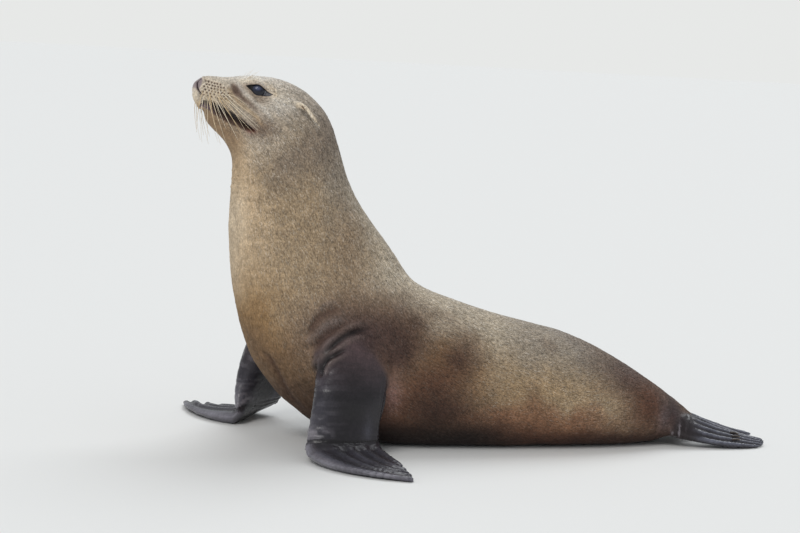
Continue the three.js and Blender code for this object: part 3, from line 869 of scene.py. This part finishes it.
    # The folds over the arm lie in painted shadow, but for the fifth, with painted light on the swelling
    # beside each, and the chest's first lies in painted shadow too.
    arm = np.flatnonzero((a.side > 142) & (y > 90) & (y < 320) & (a.z > 160) & (a.z < 330))
    dark, between = np.zeros((2, len(p)))
    for (line, _, width), shade, depth in zip(SHOULDER_FOLDS, (BARK, BARK, INK, INK), (0.6, 0.8, 0.7, 0.8)):
        places = np.column_stack([y, a.z])[arm]
        dark[arm], between[arm] = fold(places, line, width, (0.05, 0.25, 0.7), 2.2)
        tint(mix(MAUVE, TAUPE, 0.5), 0.5 * between)
        tint(shade, depth * dark)
    chest = np.flatnonzero((a.side < 110) & (a.y > 0) & (a.y < 190) & (a.z > 40) & (a.z < 240))
    line, _, width = CHEST_FOLDS[0]
    dark = np.zeros(len(p))
    dark[chest], _ = fold(p[chest][:, 1:], line, width, (0, 0.2, 0.8), 2.2)
    tint(BARK, 0.5 * dark)

    # Face.
    head = past("nape", "crown", a.station)
    lateral = head * (a.side > 4)
    # Pale hair over the forehead, partly painted light on its top.
    tint(FROST, 0.95 * head * spot(a.f - 20, a.u - 32, 66, 21))
    tint(CREAM, 0.5 * head * spot(a.f + 40, a.u + 8, 30, 24))
    tint(FROST, 0.5 * lateral * spot(a.f + 44, a.u + 26, 36, 22))
    tint(mix(UMBER, TAUPE, 0.2), 0.75 * lateral * spot(a.f + 6, a.u + 76, 28, 20))
    # Painted shade under the eye.
    tint(UMBER, 0.4 * lateral * spot(a.f - 2, a.u + 20, 22, 7))
    tint(CREAM, 0.9 * marks["brow"] * smooth(-30, 20, a.f))
    tint(mix(CREAM, SAND, 0.5), 0.75 * marks["brow"] * smooth(-5, -30, a.f))
    ear = smooth(1.5, 4, a.off_trunk) * (a.side > 66) * (a.f < -60) * (a.f > -140) * (a.u < 0) * (a.u > -90)
    tint(mix(CREAM, SAND, 0.4), 0.8 * ear)
    tint(CREAM, 0.9 * marks["ridge"] ** 2 * (0.75 + 0.25 * noise(p, 9, 34)))
    tint(UMBER, 0.8 * marks["slit"] * (a.side > 66))
    tint(mix(CREAM, SAND, 0.2), 0.7 * head * spot(a.f - 88, a.u + 6, 42, 28))
    for shade, depth, feature in ((CREAM, 0.5, "ring"), (mix(UMBER, MAUVE, 0.5), 0.9, "hollow"),
                                  (mix(UMBER, MAUVE, 0.3), 0.75, "groove"),
                                  (mix(SAND, GOLD, 0.5), 0.55, "band"), (FROST, 0.5, "behind")):
        tint(shade, depth * marks[feature])
    chin = head * smooth(-34, -52, a.u) * smooth(10, 40, a.f) * smooth(0.5, 0.75, a.girdle)
    tint(mix(GOLD, UMBER, 0.6), 0.6 * chin * smooth(PLACE["brow"] + 1.0, PLACE["stop"], a.station))
    tint(PAD, 0.85 * marks["pad"])
    # Painted rim highlight down the front of the upper lip.
    tint(CREAM, 0.8 * smooth(122, 131, a.f) * smooth(3, -5, a.u) * smooth(LIP_HANG - 2, LIP_HANG + 2, a.u))
    tint(NOSTRIL_DARK, 0.95 * marks["nostril"])
    tint(BARK, 0.95 * marks["pit"])

    # Mouth: black under the upper lip, partly the mouth's dark lining and partly painted shadow of the lip,
    # brown below it and a mauve lower lip towards the front.
    half, above = mouth_at(a.f, a.u)
    below = mix(mix(BARK, UMBER, 0.25), LIP, smooth(82, 98, a.f))
    lip_top = mix(0.7, 0.15, smooth(84, 98, a.f)) * half
    lower_lip = smooth(lip_top, 1.8 * np.maximum(half, 2), half - above)
    c = mix(c, mix(mix(INK, BARK, 0.35), below, lower_lip), 0.95 * marks["opened"])
    tint(mix(PINK, UMBER, 0.35), 0.7 * head * spot(a.f - 14, a.u + 83, 9, 6))
    lip = bump(above - half - 1.5, 2.0) * within(a.f, 10, 30, 104, 112) * head
    tint(mix(UMBER, INK, 0.3), 0.4 * lip)

    # Lids: a black line under the upper one, a thin one over the lower, and a haw in the rear corner.
    f = a.f[a.by_eye]
    opening, height, _ = eye_opening(f, a.u[a.by_eye])
    black, haw, shadow = np.zeros((3, len(p)))
    line = mix(0.8, 2.2, smooth(-2, 2, height)) * mix(0.15, 1, smooth(-22, -9, f))
    black[a.by_eye] = smooth(line, 0, opening)
    haw[a.by_eye] = smooth(0.2, -1.2, opening) * smooth(-8, -14, f)
    shadow[a.by_eye] = bump(opening, 5.5) * smooth(-30, -8, f)
    tint(UMBER, 0.45 * shadow)
    tint(INK, black)
    tint(HAW, 0.8 * haw)
    tint(mix(HAW, CREAM, 0.25), 0.8 * haw * smooth(-22, -29, a.f))
    return np.clip(c, 0.01, 0.95)


# ---------------------------------------------------------------- materials

class Tree:
    """The nodes of a material or a world, and short ways to make them. A value given to a node is
    another node's output, to be linked, or a constant."""

    def __init__(self, owner):
        owner.use_nodes = True
        self.nodes, self.links = owner.node_tree.nodes, owner.node_tree.links

    def feed(self, node, values):
        for socket, value in values.items():
            if isinstance(value, bpy.types.NodeSocket):
                self.links.new(value, node.inputs[socket])
            else:
                node.inputs[socket].default_value = value

    def add(self, kind, output, values, **settings):
        made = self.nodes.new("ShaderNode" + kind)
        for name, value in settings.items():
            setattr(made, name, value)
        self.feed(made, values)
        return made.outputs[output]

    def attribute(self, name, output="Fac"):
        return self.add("Attribute", output, {}, attribute_name=name)

    def grain(self, scale, detail, roughness, place_of=None):
        """Noise over the object, or over other coordinates."""
        if place_of is None:
            place_of = self.add("TexCoord", "Object", {})
        values = {"Scale": scale, "Detail": detail, "Roughness": roughness, "Vector": place_of}
        return self.add("TexNoise", "Fac", values)

    def ranged(self, value, start, end):
        """A value moved from one span of numbers to another."""
        return self.add("MapRange", "Result", {"From Min": start[0], "From Max": start[1],
                                               "To Min": end[0], "To Max": end[1], "Value": value})

    def maths(self, operation, a, b):
        return self.add("Math", 0, {0: a, 1: b}, operation=operation)

    def scaled(self, colour_socket, factor):
        return self.add("VectorMath", 0, {0: colour_socket, "Scale": factor}, operation="SCALE")


def finish_of(name, values_from):
    """A material whose shader takes the values that a function makes in its node tree."""
    material = bpy.data.materials.new(name)
    tree = Tree(material)
    tree.feed(tree.nodes["Principled BSDF"], values_from(tree))
    return material


# Lumps of colour in a metre, and how much darker and lighter they are.
GRIZZLE_SCALE, GRIZZLE_TONES = 260, (-0.28, 0.26)
CLUMP_SCALE, CLUMP_TONES = 90, (0.93, 1.07)
NOISE_SPAN = (0.32, 0.68)       # where most of a noise texture's values lie
PORE_SCALE = 420
# The skin from where it is furred to where it is bare.
SKIN_ROUGHNESS, BUMP_STRENGTH, BUMP_HEIGHT = (0.72, 0.25), (0.55, 0.25), 0.0009


def coat_colour(tree):
    """The markings with the coat's fine grizzle, the same on skin and tufts."""
    fine = tree.ranged(tree.grain(GRIZZLE_SCALE, 1.5, 0.6), NOISE_SPAN, GRIZZLE_TONES)
    fine = tree.maths("ADD", tree.maths("MULTIPLY", fine, tree.attribute("Grizzle")), 1.0)
    clump = tree.ranged(tree.grain(CLUMP_SCALE, 2.0, 0.6), NOISE_SPAN, CLUMP_TONES)
    return tree.scaled(tree.attribute("Markings", "Color"), tree.maths("MULTIPLY", fine, clump))


def skin_values(tree):
    """Hair that lies along the body where there is fur, and wetter skin with pores where it is bare."""
    bare = tree.attribute("Bare")
    hairs = tree.grain(1.0, 3.0, 0.6, tree.attribute("Flow", "Vector"))
    height = tree.add("Mix", "Result", {"Factor": bare, "A": hairs, "B": tree.grain(PORE_SCALE, 4.0, 0.65)})
    strength = tree.ranged(bare, (0, 1), BUMP_STRENGTH)
    lift = {"Strength": strength, "Distance": BUMP_HEIGHT, "Height": height}
    return {"Base Color": coat_colour(tree), "Roughness": tree.ranged(bare, (0, 1), SKIN_ROUGHNESS),
            "Specular IOR Level": 0.35, "Sheen Weight": 0.05, "Sheen Roughness": 0.4,
            "Normal": tree.add("Bump", "Normal", lift)}


def coat_values(tree):
    return {"Base Color": coat_colour(tree), "Roughness": 0.6, "Sheen Weight": 0.06, "Sheen Roughness": 0.35,
            "Specular IOR Level": 0.25}


def eye_values(tree):
    return {"Base Color": tree.attribute("Markings", "Color"), "Roughness": 0.06, "Specular IOR Level": 0.25,
            "Coat Weight": 0.35, "Coat Roughness": 0.03}


def horn_values(rough):
    def values(tree):
        grain = tree.ranged(tree.grain(GRIZZLE_SCALE, 3.0, 0.5), (0.3, 0.7), (0.75, 1.2))
        return {"Base Color": tree.scaled(tree.attribute("Markings", "Color"), grain), "Roughness": rough,
                "Specular IOR Level": 0.5}
    return values


# ---------------------------------------------------------------- building the skin

HAIR_LENGTH, HAIR_WIDTH = 7.0, 0.9      # of the lumps of the skin's fine bump, along the body and across


def flipper_sheets():
    """The middle surfaces of the four flippers, by kind and side."""
    sheets = {}
    for side in (1, -1):
        fore = FORE if side > 0 else [[stepped(p, i) for i, p in enumerate(line)] for line in FORE]
        sheets["fore", side] = Sheet(fore, side)
        sheets["hind", side] = Sheet(HIND, side)
    return sheets


def smoothing(a):
    """How many passes each point of the raw mesh is smoothed by: many on the trunk, few by fine parts."""
    body = mix(16, 130, past("crown", "withers", a.station))
    body = mix(6, body, past("lip", "stop", a.station))
    body = mix(body, 22, past("rump", "tail", a.station))
    arm, foot = mix(60, 3, smooth(0.3, 0.58, a.lane_u)), mix(20, 3, smooth(0.1, 0.5, a.lane_u))
    limb = np.where(a.limb == "fore", arm, foot)
    passes = mix(body, limb, smooth(4, 30, a.off_trunk) * (a.limb != ""))
    ear = (a.side > 60) & (a.f < -50) & (a.station < PLACE["nape"]) & (a.off_trunk > 1.5)
    passes[ear] = 2
    return passes


def set_in(mesh, a, points, passes):
    """Lowers the surface to leave room for the coat, and flattens what rests on the floor."""
    bare = np.clip(a.fore * smooth(0.1, 0.3, a.lane_u) + a.hind * smooth(0.05, 0.25, a.lane_u), 0, 1)
    inset = mix(SEAM + COAT_DEPTH, SEAM + BARE_DEPTH, bare) - 0.5 * smooth(40, 120, passes)
    points = points - normals(mesh) * inset[:, None]
    lowered = smooth(14, 3, points[:, 2])
    points[:, 2] = mix(points[:, 2], np.maximum(points[:, 2] - 2.2, FLOOR_GAP), lowered)
    points[:, 2] = np.maximum(points[:, 2], FLOOR_GAP)
    place(mesh, points)


def fine_parts(points):
    """Which points lie round an eye, the mouth, the muzzle or an ear."""
    f, u, side = -points[:, 1], points[:, 2] - EYE_UP, np.abs(points[:, 0])
    half, above = mouth_at(f, u)
    eye = (np.hypot(f, u) < 40) & (side > 22)
    mouth = (f > -2) & (np.abs(above) < half + 8)
    muzzle = (f > 45) & (u > -40) & (u < 26)
    ear = (side > 58) & (f < -50) & (f > -142) & (u < -4) & (u > -80)
    return eye | mouth | muzzle | ear


def build_skin():
    """The skin's mesh with its attributes, and what the coat needs to know about each of its points."""
    mesh = remeshed_flesh()
    trunk = joined(TRUNK_NODES)
    for vertex in trunk.verts:
        vertex.co = Vector(to_animal(vertex.co))
    tree = BVHTree.FromBMesh(trunk)
    trunk.free()
    sheets = flipper_sheets()

    points = points_of(mesh)
    a = Anatomy(points, sheets, tree)
    passes = smoothing(a)
    points = relax(mesh, points, passes)
    blades = a.fore * smooth(0.5, 0.6, a.lane_u) + a.hind * smooth(0.3, 0.5, a.lane_u)
    points = relax(mesh, points, 8.0 * blades, False)
    set_in(mesh, a, points, passes)

    subdivided(mesh, a.station < PLACE["nape"])
    points = points_of(mesh)
    head = section_at(points)[0] < PLACE["nape"] - 0.1
    points = relax(mesh, points, 3.0 * head)
    subdivided(mesh, head & fine_parts(points))
    points = points_of(mesh)
    points = relax(mesh, points, 2.0 * (section_at(points)[0] < PLACE["nape"] - 0.2))

    a = Anatomy(points, sheets, tree)
    points, marks = relief(a, normals(mesh))
    place(mesh, points)
    colours = markings(a, marks)
    colour_layer(mesh, colours)
    bare = np.clip(a.fore * smooth(0.08, 0.22, a.lane_u) + a.hind * smooth(0.02, 0.2, a.lane_u), 0, 1)
    bare = np.maximum.reduce([bare, marks["pad"], marks["recess"], marks["nostril"]])
    store(mesh, "Bare", "FLOAT", bare)
    grizzle = mix(0.4, 1, smooth(0.92, 0.6, a.girdle)) * mix(1, 0.6, bare)
    store(mesh, "Grizzle", "FLOAT", grizzle)
    around = a.girdle * mix(120, 420, past("brow", "breast", a.station))
    flow = [along_body(a.station) / HAIR_LENGTH, np.sign(a.x) * around / HAIR_WIDTH, a.x / 40]
    store(mesh, "Flow", "FLOAT_VECTOR", np.column_stack(flow))
    mesh.shade_smooth()
    return mesh, a, marks, colours, bare, grizzle


mesh, anatomy, marks, colours, bare, grizzle = build_skin()
skin = add("skin", mesh, finish_of("sea_lion_skin", skin_values))
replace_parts(skin, *SKIN_NODES)
skin_points, skin_normals = points_of(mesh), normals(mesh)

# ---------------------------------------------------------------- eyes

GAZE = unit(np.array([0.98, -0.10, 0.12]))
IRIS = 0.74                     # radians from its middle to its edge
BULGE = 1.0                     # how far its clear front stands out
EYE_RINGS, EYE_AROUND = 40, 56


def build_eye(name, side, material):
    """A ball with a clear bulge over the iris, in rings about the way it looks."""
    gaze = GAZE * (side, 1, 1)
    right = unit(np.cross(gaze, (0, 0, 1)))
    up = np.cross(right, gaze)
    polar = np.linspace(0, math.pi, EYE_RINGS + 1)[1:-1]
    turn = (np.arange(EYE_AROUND) * 2 * math.pi / EYE_AROUND)[:, None]
    radius = EYE_RADIUS + BULGE * smooth(0.75, 0.35, polar)
    directions = (np.cos(polar)[:, None, None] * gaze
                  + np.sin(polar)[:, None, None] * (np.cos(turn) * right + np.sin(turn) * up))
    walls = (directions * radius[:, None, None]).reshape(-1, 3)
    centre = np.array([side * EYE_SIDE, 0, EYE_UP])
    points = np.vstack([walls, gaze * (EYE_RADIUS + BULGE), -gaze * EYE_RADIUS]) + centre
    faces = []
    last = (EYE_RINGS - 2) * EYE_AROUND
    for k in range(EYE_AROUND):
        n = (k + 1) % EYE_AROUND
        faces += [(len(points) - 2, k, n), (len(points) - 1, last + n, last + k)]
        faces += [(i + k, i + EYE_AROUND + k, i + EYE_AROUND + n, i + n) for i in range(0, last, EYE_AROUND)]
    made = mesh_of(name, points, faces)
    outward = points - centre
    away = np.arccos(np.clip(unit(outward) @ gaze, -1, 1))
    around = np.arctan2(outward @ up, outward @ right)
    fleck = noise(np.column_stack([away * 12, around * 9, np.zeros(len(points))]), 1.0, 41)
    tone = mix(colour("0b0d18"), colour("20222f"), smooth(0.3, 0.42, away) * (0.6 + 0.4 * fleck))
    _, back, high = outward.T
    # A painted reflection of the sky on the ball's upper front.
    tone = mix(tone, PAINTED_SKY_REFLECTION, 0.75 * spot(back + 4, high - 6.5, 8, 5))
    tone = mix(tone, mix(INK, HAW, smooth(4, 10, back)), smooth(IRIS - 0.03, IRIS + 0.05, away))
    colour_layer(made, tone)
    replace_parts(add(f"{name}_ball", made, material), name)


eye_finish = finish_of("sea_lion_eye", eye_values)
for name, side in (("eye_left", 1), ("eye_right", -1)):
    build_eye(name, side, eye_finish)

# ---------------------------------------------------------------- claws

NAIL_WIDTH, NAIL_STEPS = 2.9, 12


def build_claw(node, material):
    """A curved nail where the CAD one is: rooted at its front end, its point bent down behind."""
    points = points_of(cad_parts[node].data)
    front, rear = points[points[:, 1].argmin()], points[points[:, 1].argmax()]
    middle = points.mean(0)
    along = unit(rear - front)
    line = curve([middle - along * 12, middle + (0, 0, 0.8), middle + along * 11 - (0, 0, 1.2)], NAIL_STEPS)
    t = np.linspace(0, 1, NAIL_STEPS)
    widths = NAIL_WIDTH * np.sqrt(np.maximum(1 - t**2.2, 0.02)) * smooth(-0.25, 0.12, t)
    nail_points, faces = tubes(line[None], np.array([[1.0, 0, 0]]), widths[None], 12)
    made = triangle_mesh(node + "_nail", nail_points, faces)
    towards_tip = smooth(middle @ along - 2, middle @ along + 11, nail_points @ along)
    colour_layer(made, mix(colour("3a322e"), colour("6e6052"), towards_tip))
    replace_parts(add(node + "_nail", made, material), node)


nail_finish = finish_of("nail", horn_values(0.4))
for node in sorted(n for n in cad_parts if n.startswith("claw")):
    build_claw(node, nail_finish)

# ---------------------------------------------------------------- whiskers

WHISKER_STEPS = 14
EYEBROW_HAIRS = 3


def skin_at(f, u, side, inside=0.8):
    """The skin's outermost point beside the head at [f, u], on one side, and its normal."""
    near = (np.abs(anatomy.f - f) < 4) & (np.abs(anatomy.u - u) < 4) & (anatomy.station < PLACE["brow"])
    near = np.flatnonzero(near & (np.sign(skin_points[:, 0]) == side))
    best = near[np.hypot(anatomy.f[near] - f, anatomy.u[near] - u).argmin()]
    return skin_points[best] - skin_normals[best] * inside, skin_normals[best]


def build_whiskers(material):
    rng = np.random.default_rng(SEED)
    t = np.linspace(0, 1, WHISKER_STEPS)
    lines, widths, tones = [], [], []
    for side in (1, -1):
        for f, u, row, share in FOLLICLES:
            root, normal = skin_at(f, u, side)
            length = 14 + mix(96, 76, share) * row**1.1 * rng.uniform(0.75, 1.15)
            back = share ** 0.8
            aim = np.array([side * mix(0.16, 0.34, back), mix(-0.14, 0.86, back), mix(-1.0, -0.52, back)])
            aim = unit(aim + rng.normal(0, 0.07, 3))
            start = unit(normal * 0.8 + aim * 0.9)
            bend = t[:, None] ** 0.7
            line = root + length * t[:, None] * (start * (1 - bend) + aim * bend)
            line[:, 2] -= 0.06 * length * t**2
            line[:, 1] += 0.05 * length * t**2
            lines.append(line)
            widths.append(mix(0.5, 0.95, row) * (1 - 0.75 * t))
            tones.append(rng.uniform(0, 1))
        for k in range(EYEBROW_HAIRS):
            root, normal = skin_at(22 - 5 * k, 24 + 1.5 * k, side)
            aim = unit(np.array([side * 0.5, 0.45, 0.65]) + rng.normal(0, 0.08, 3))
            lines.append(root + (t * (20 + 4 * k))[:, None] * aim - np.outer(t**2 * 3, (0, -1, 1)))
            widths.append(0.32 * (1 - 0.8 * t))
            tones.append(0.3)
    points, faces = tubes(np.array(lines), np.tile((0.3, 0.2, 1.0), (len(lines), 1)), np.array(widths), 5)
    made = triangle_mesh("whiskers", points, faces)
    tone = np.repeat(tones, len(points) // len(lines))
    colour_layer(made, mix(colour("d2b487"), colour("f3ead8"), tone))
    add("whiskers", made, material)


build_whiskers(finish_of("whisker", horn_values(0.35)))

# ---------------------------------------------------------------- coat

COAT_PIECES = {"coat_head": (None, "nape"), "coat_neck": ("nape", "withers"),
               "coat_chest": ("withers", "ribs"), "coat_trunk": ("ribs", "waist"),
               "coat_rump": ("waist", None)}
TUFTS = 165000
TUFT_LENGTH, TUFT_WIDTH, TUFT_HEIGHT, TUFT_ROOT = 8.5, 1.25, 0.42, 0.25
# A tuft's corners are two at its root, one at the top of its back and its tip.
TUFT_TRIANGLES = np.array([(0, 3, 2), (1, 2, 3), (0, 2, 1), (0, 1, 3)])
TONE_SPREAD = 0.17
# On the bake map a tuft is a small patch in the place of its root, unrolled; the arms lie clear of the trunk.
PATCH = np.array([(0, -0.5), (0, 0.5), (0.35, 0), (1, 0)]) * 0.003
UNWRAP_ROOM, UNWRAP_GIRTH, UNWRAP_ARM, UNWRAP_EDGE = 0.96, 450, 1000, 0.02


def fur_share():
    """How thickly each point of the skin is furred: more on the head, none on bare skin and in openings."""
    a = anatomy
    dense = 1 + 1.6 * past("nape", "brow", a.station) + 0.5 * smooth(4, 1, a.station)
    no_fur = np.maximum.reduce([bare, marks["recess"], marks["pad"], marks["nostril"], marks["pit"]])
    opening, _, _ = eye_opening(a.f[a.by_eye], a.u[a.by_eye])
    no_fur[a.by_eye] = np.maximum(no_fur[a.by_eye], smooth(3.5, 2.0, opening))
    resting = (skin_normals[:, 2] < -0.5) & (skin_points[:, 2] < 12)
    return np.clip(1 - 1.6 * no_fur, 0, 1) * dense * np.where(resting, 0, 1)


def sampled_roots(count):
    """Places spread over the furred skin: the corners of their triangles, and their shares of each."""
    mesh.calc_loop_triangles()
    corners = rows(mesh.loop_triangles, "vertices", 3, np.int32)
    a, b, c = (skin_points[corners[:, i]] for i in range(3))
    area = np.linalg.norm(np.cross(b - a, c - a), axis=1) / 2
    total = np.cumsum(area * fur_share()[corners].min(1))
    rng = np.random.default_rng(SEED + 1)
    chosen = np.searchsorted(total, rng.uniform(0, total[-1], count))
    r, s = rng.uniform(0, 1, (2, count))
    r = np.sqrt(r)
    return corners[chosen], np.column_stack([1 - r, r * (1 - s), r * s]), rng


def unwrapped(flat, on_arm):
    """The tufts' corners on the bake map, from the places of their roots, which it changes."""
    flat[:, 1] += np.where(on_arm, UNWRAP_ARM * np.sign(flat[:, 1]), 0)
    flat -= flat.min(0)
    flat *= UNWRAP_ROOM / np.maximum(flat.max(0), 1)
    return (flat[:, None] + UNWRAP_EDGE + PATCH)[:, TUFT_TRIANGLES.ravel()].reshape(-1, 2)


def build_coat(material):
    corners, shares, rng = sampled_roots(TUFTS)

    def at_roots(values):
        return np.einsum("ij,ij...->i...", shares, values[corners])

    root, normal = at_roots(skin_points), unit(at_roots(skin_normals))
    station, girdle = at_roots(anatomy.station), at_roots(anatomy.girdle)
    lie = at_roots(anatomy.lie) + 0.10 * rng.normal(0, 1, (TUFTS, 3))
    swirl = noise(root, 60, 51)[:, None] * unit(np.cross(normal, lie)) * 0.22
    lie = unit(lie + swirl)
    lie = unit(lie - normal * (lie * normal).sum(1, keepdims=True))
    face = past("crown", "stop", station)
    limb = at_roots(np.maximum(anatomy.fore, anatomy.hind))
    size = mix(1.0, 0.5, np.maximum(face, 0.8 * limb)) * rng.uniform(0.75, 1.3, TUFTS)
    on_ear = (root[:, 2] < EYE_UP) & (station < PLACE["nape"]) & (at_roots(anatomy.off_trunk) > 1.5)
    size = np.where(on_ear, 0.45 * size, size)[:, None]
    lift = (mix(0.5, 0.28, face) * rng.uniform(0.4, 1.7, TUFTS))[:, None]
    half = np.cross(normal, lie) * TUFT_WIDTH * size / 2
    length = lie * TUFT_LENGTH * size
    points = np.stack([root - half - normal * TUFT_ROOT, root + half - normal * TUFT_ROOT,
                       root + 0.35 * length + normal * TUFT_HEIGHT * size,
                       root + length + normal * lift], 1)

    # Each tuft is a little lighter or darker than the markings, and the light ones are greyer.
    speckle = at_roots(grizzle)
    tone = TONE_SPREAD * speckle * np.clip(rng.normal(0, 1, TUFTS), -2, 2)
    shade = at_roots(colours)
    shade = mix(shade, shade.mean(1, keepdims=True), np.clip(2 * tone, 0, 0.5))
    shade = np.clip(shade * (1 + tone[:, None]), 0.01, 0.97)

    on_arm = at_roots(anatomy.fore) > 0.5
    flat = np.column_stack([along_body(station), np.sign(root[:, 0]) * girdle * UNWRAP_GIRTH])
    for name, (first, last) in COAT_PIECES.items():
        chosen = np.flatnonzero((station >= PLACE.get(first, -1)) & (station < PLACE.get(last, len(PLACE))))
        faces = (TUFT_TRIANGLES[None] + 4 * np.arange(len(chosen))[:, None, None]).reshape(-1, 3)
        made = triangle_mesh(name, points[chosen].reshape(-1, 3), faces)
        colour_layer(made, np.repeat(shade[chosen], 4, axis=0))
        store(made, "Grizzle", "FLOAT", np.repeat(speckle[chosen], 4))
        layer = made.uv_layers.new(name="OFBake")
        layer.uv.foreach_set("vector", unwrapped(flat[chosen], on_arm[chosen]).astype(np.float32).ravel())
        soft = unit(np.repeat(normal[chosen], 4, axis=0) * 0.75 + normals(made) * 0.4)
        made.normals_split_custom_set_from_vertices(soft.tolist())
        add(name, made, material)


build_coat(finish_of("sea_lion_fur", coat_values))

# ---------------------------------------------------------------- floor, light and camera

FLOOR_REACH = 30.0
FLOOR_COLOUR = (0.78, 0.78, 0.7722, 1)
SKY_COLOUR, SKY_STRENGTH = (0.95, 0.98, 1.0, 1), 0.5
BACKGROUND = (0.80, 0.81, 0.80, 1)
CAMERA = dict(lens=95.7, azimuth=75.0, elevation=7.0, roll=3.5, distance=4.68)
TARGET = (0, 345, EYE_UP - 371)


def build_stage():
    """A pale floor, and a world that lights the scene softly and is plain behind it."""
    floor_mesh = bpy.data.meshes.new("floor")
    r = FLOOR_REACH
    floor_mesh.from_pydata([(-r, -r, 0), (r, -r, 0), (r, r, 0), (-r, r, 0)], [], [(0, 1, 2, 3)])
    finish = finish_of("studio_floor", lambda tree: {"Base Color": FLOOR_COLOUR, "Roughness": 0.9})
    floor_mesh.materials.append(finish)
    linked("floor", floor_mesh)

    world = bpy.data.worlds.new("studio")
    bpy.context.scene.world = world
    tree = Tree(world)
    sky = tree.nodes["Background"]
    tree.feed(sky, {"Color": SKY_COLOUR, "Strength": SKY_STRENGTH})
    seen = tree.add("Background", 0, {"Color": BACKGROUND, "Strength": 1.0})
    direct = tree.add("LightPath", "Is Camera Ray", {})
    tree.feed(tree.nodes["World Output"],
              {"Surface": tree.add("MixShader", 0, {0: direct, 1: sky.outputs[0], 2: seen})})


def sky_light(name, toward, spread, strength, tint):
    """A soft light from far away: a patch of sky of the given width in degrees, lying that way."""
    data = bpy.data.lights.new(name, "SUN")
    data.angle, data.energy, data.color = math.radians(spread), strength, tint
    linked(name, data).rotation_euler = Vector(toward).to_track_quat("Z", "Y").to_euler()


def build_camera():
    """The photo's view."""
    data = bpy.data.cameras.new("camera")
    data.lens = CAMERA["lens"]
    data.sensor_width = 36
    azimuth, elevation, roll = (math.radians(CAMERA[k]) for k in ("azimuth", "elevation", "roll"))
    back = Vector((math.sin(azimuth) * math.cos(elevation), -math.cos(azimuth) * math.cos(elevation),
                   math.sin(elevation)))
    right = Vector((math.cos(azimuth), math.sin(azimuth), 0))
    up = back.cross(right)
    target = Vector(to_frame(TARGET))
    x = right * math.cos(roll) + up * math.sin(roll)
    y = up * math.cos(roll) - right * math.sin(roll)
    camera = linked("camera", data)
    turn = Matrix((x, y, back)).transposed().to_4x4()
    camera.matrix_world = Matrix.Translation(target + back * CAMERA["distance"]) @ turn
    bpy.context.scene.camera = camera


build_stage()
sky_light("key", (0.8, -0.6, 0.95), 28, 1.05, (1.0, 0.985, 0.96))
sky_light("rim", (-0.7, 0.5, 1.1), 40, 1.3, (0.95, 0.98, 1.0))
build_camera()
bpy.context.scene.view_settings.view_transform = "Standard"
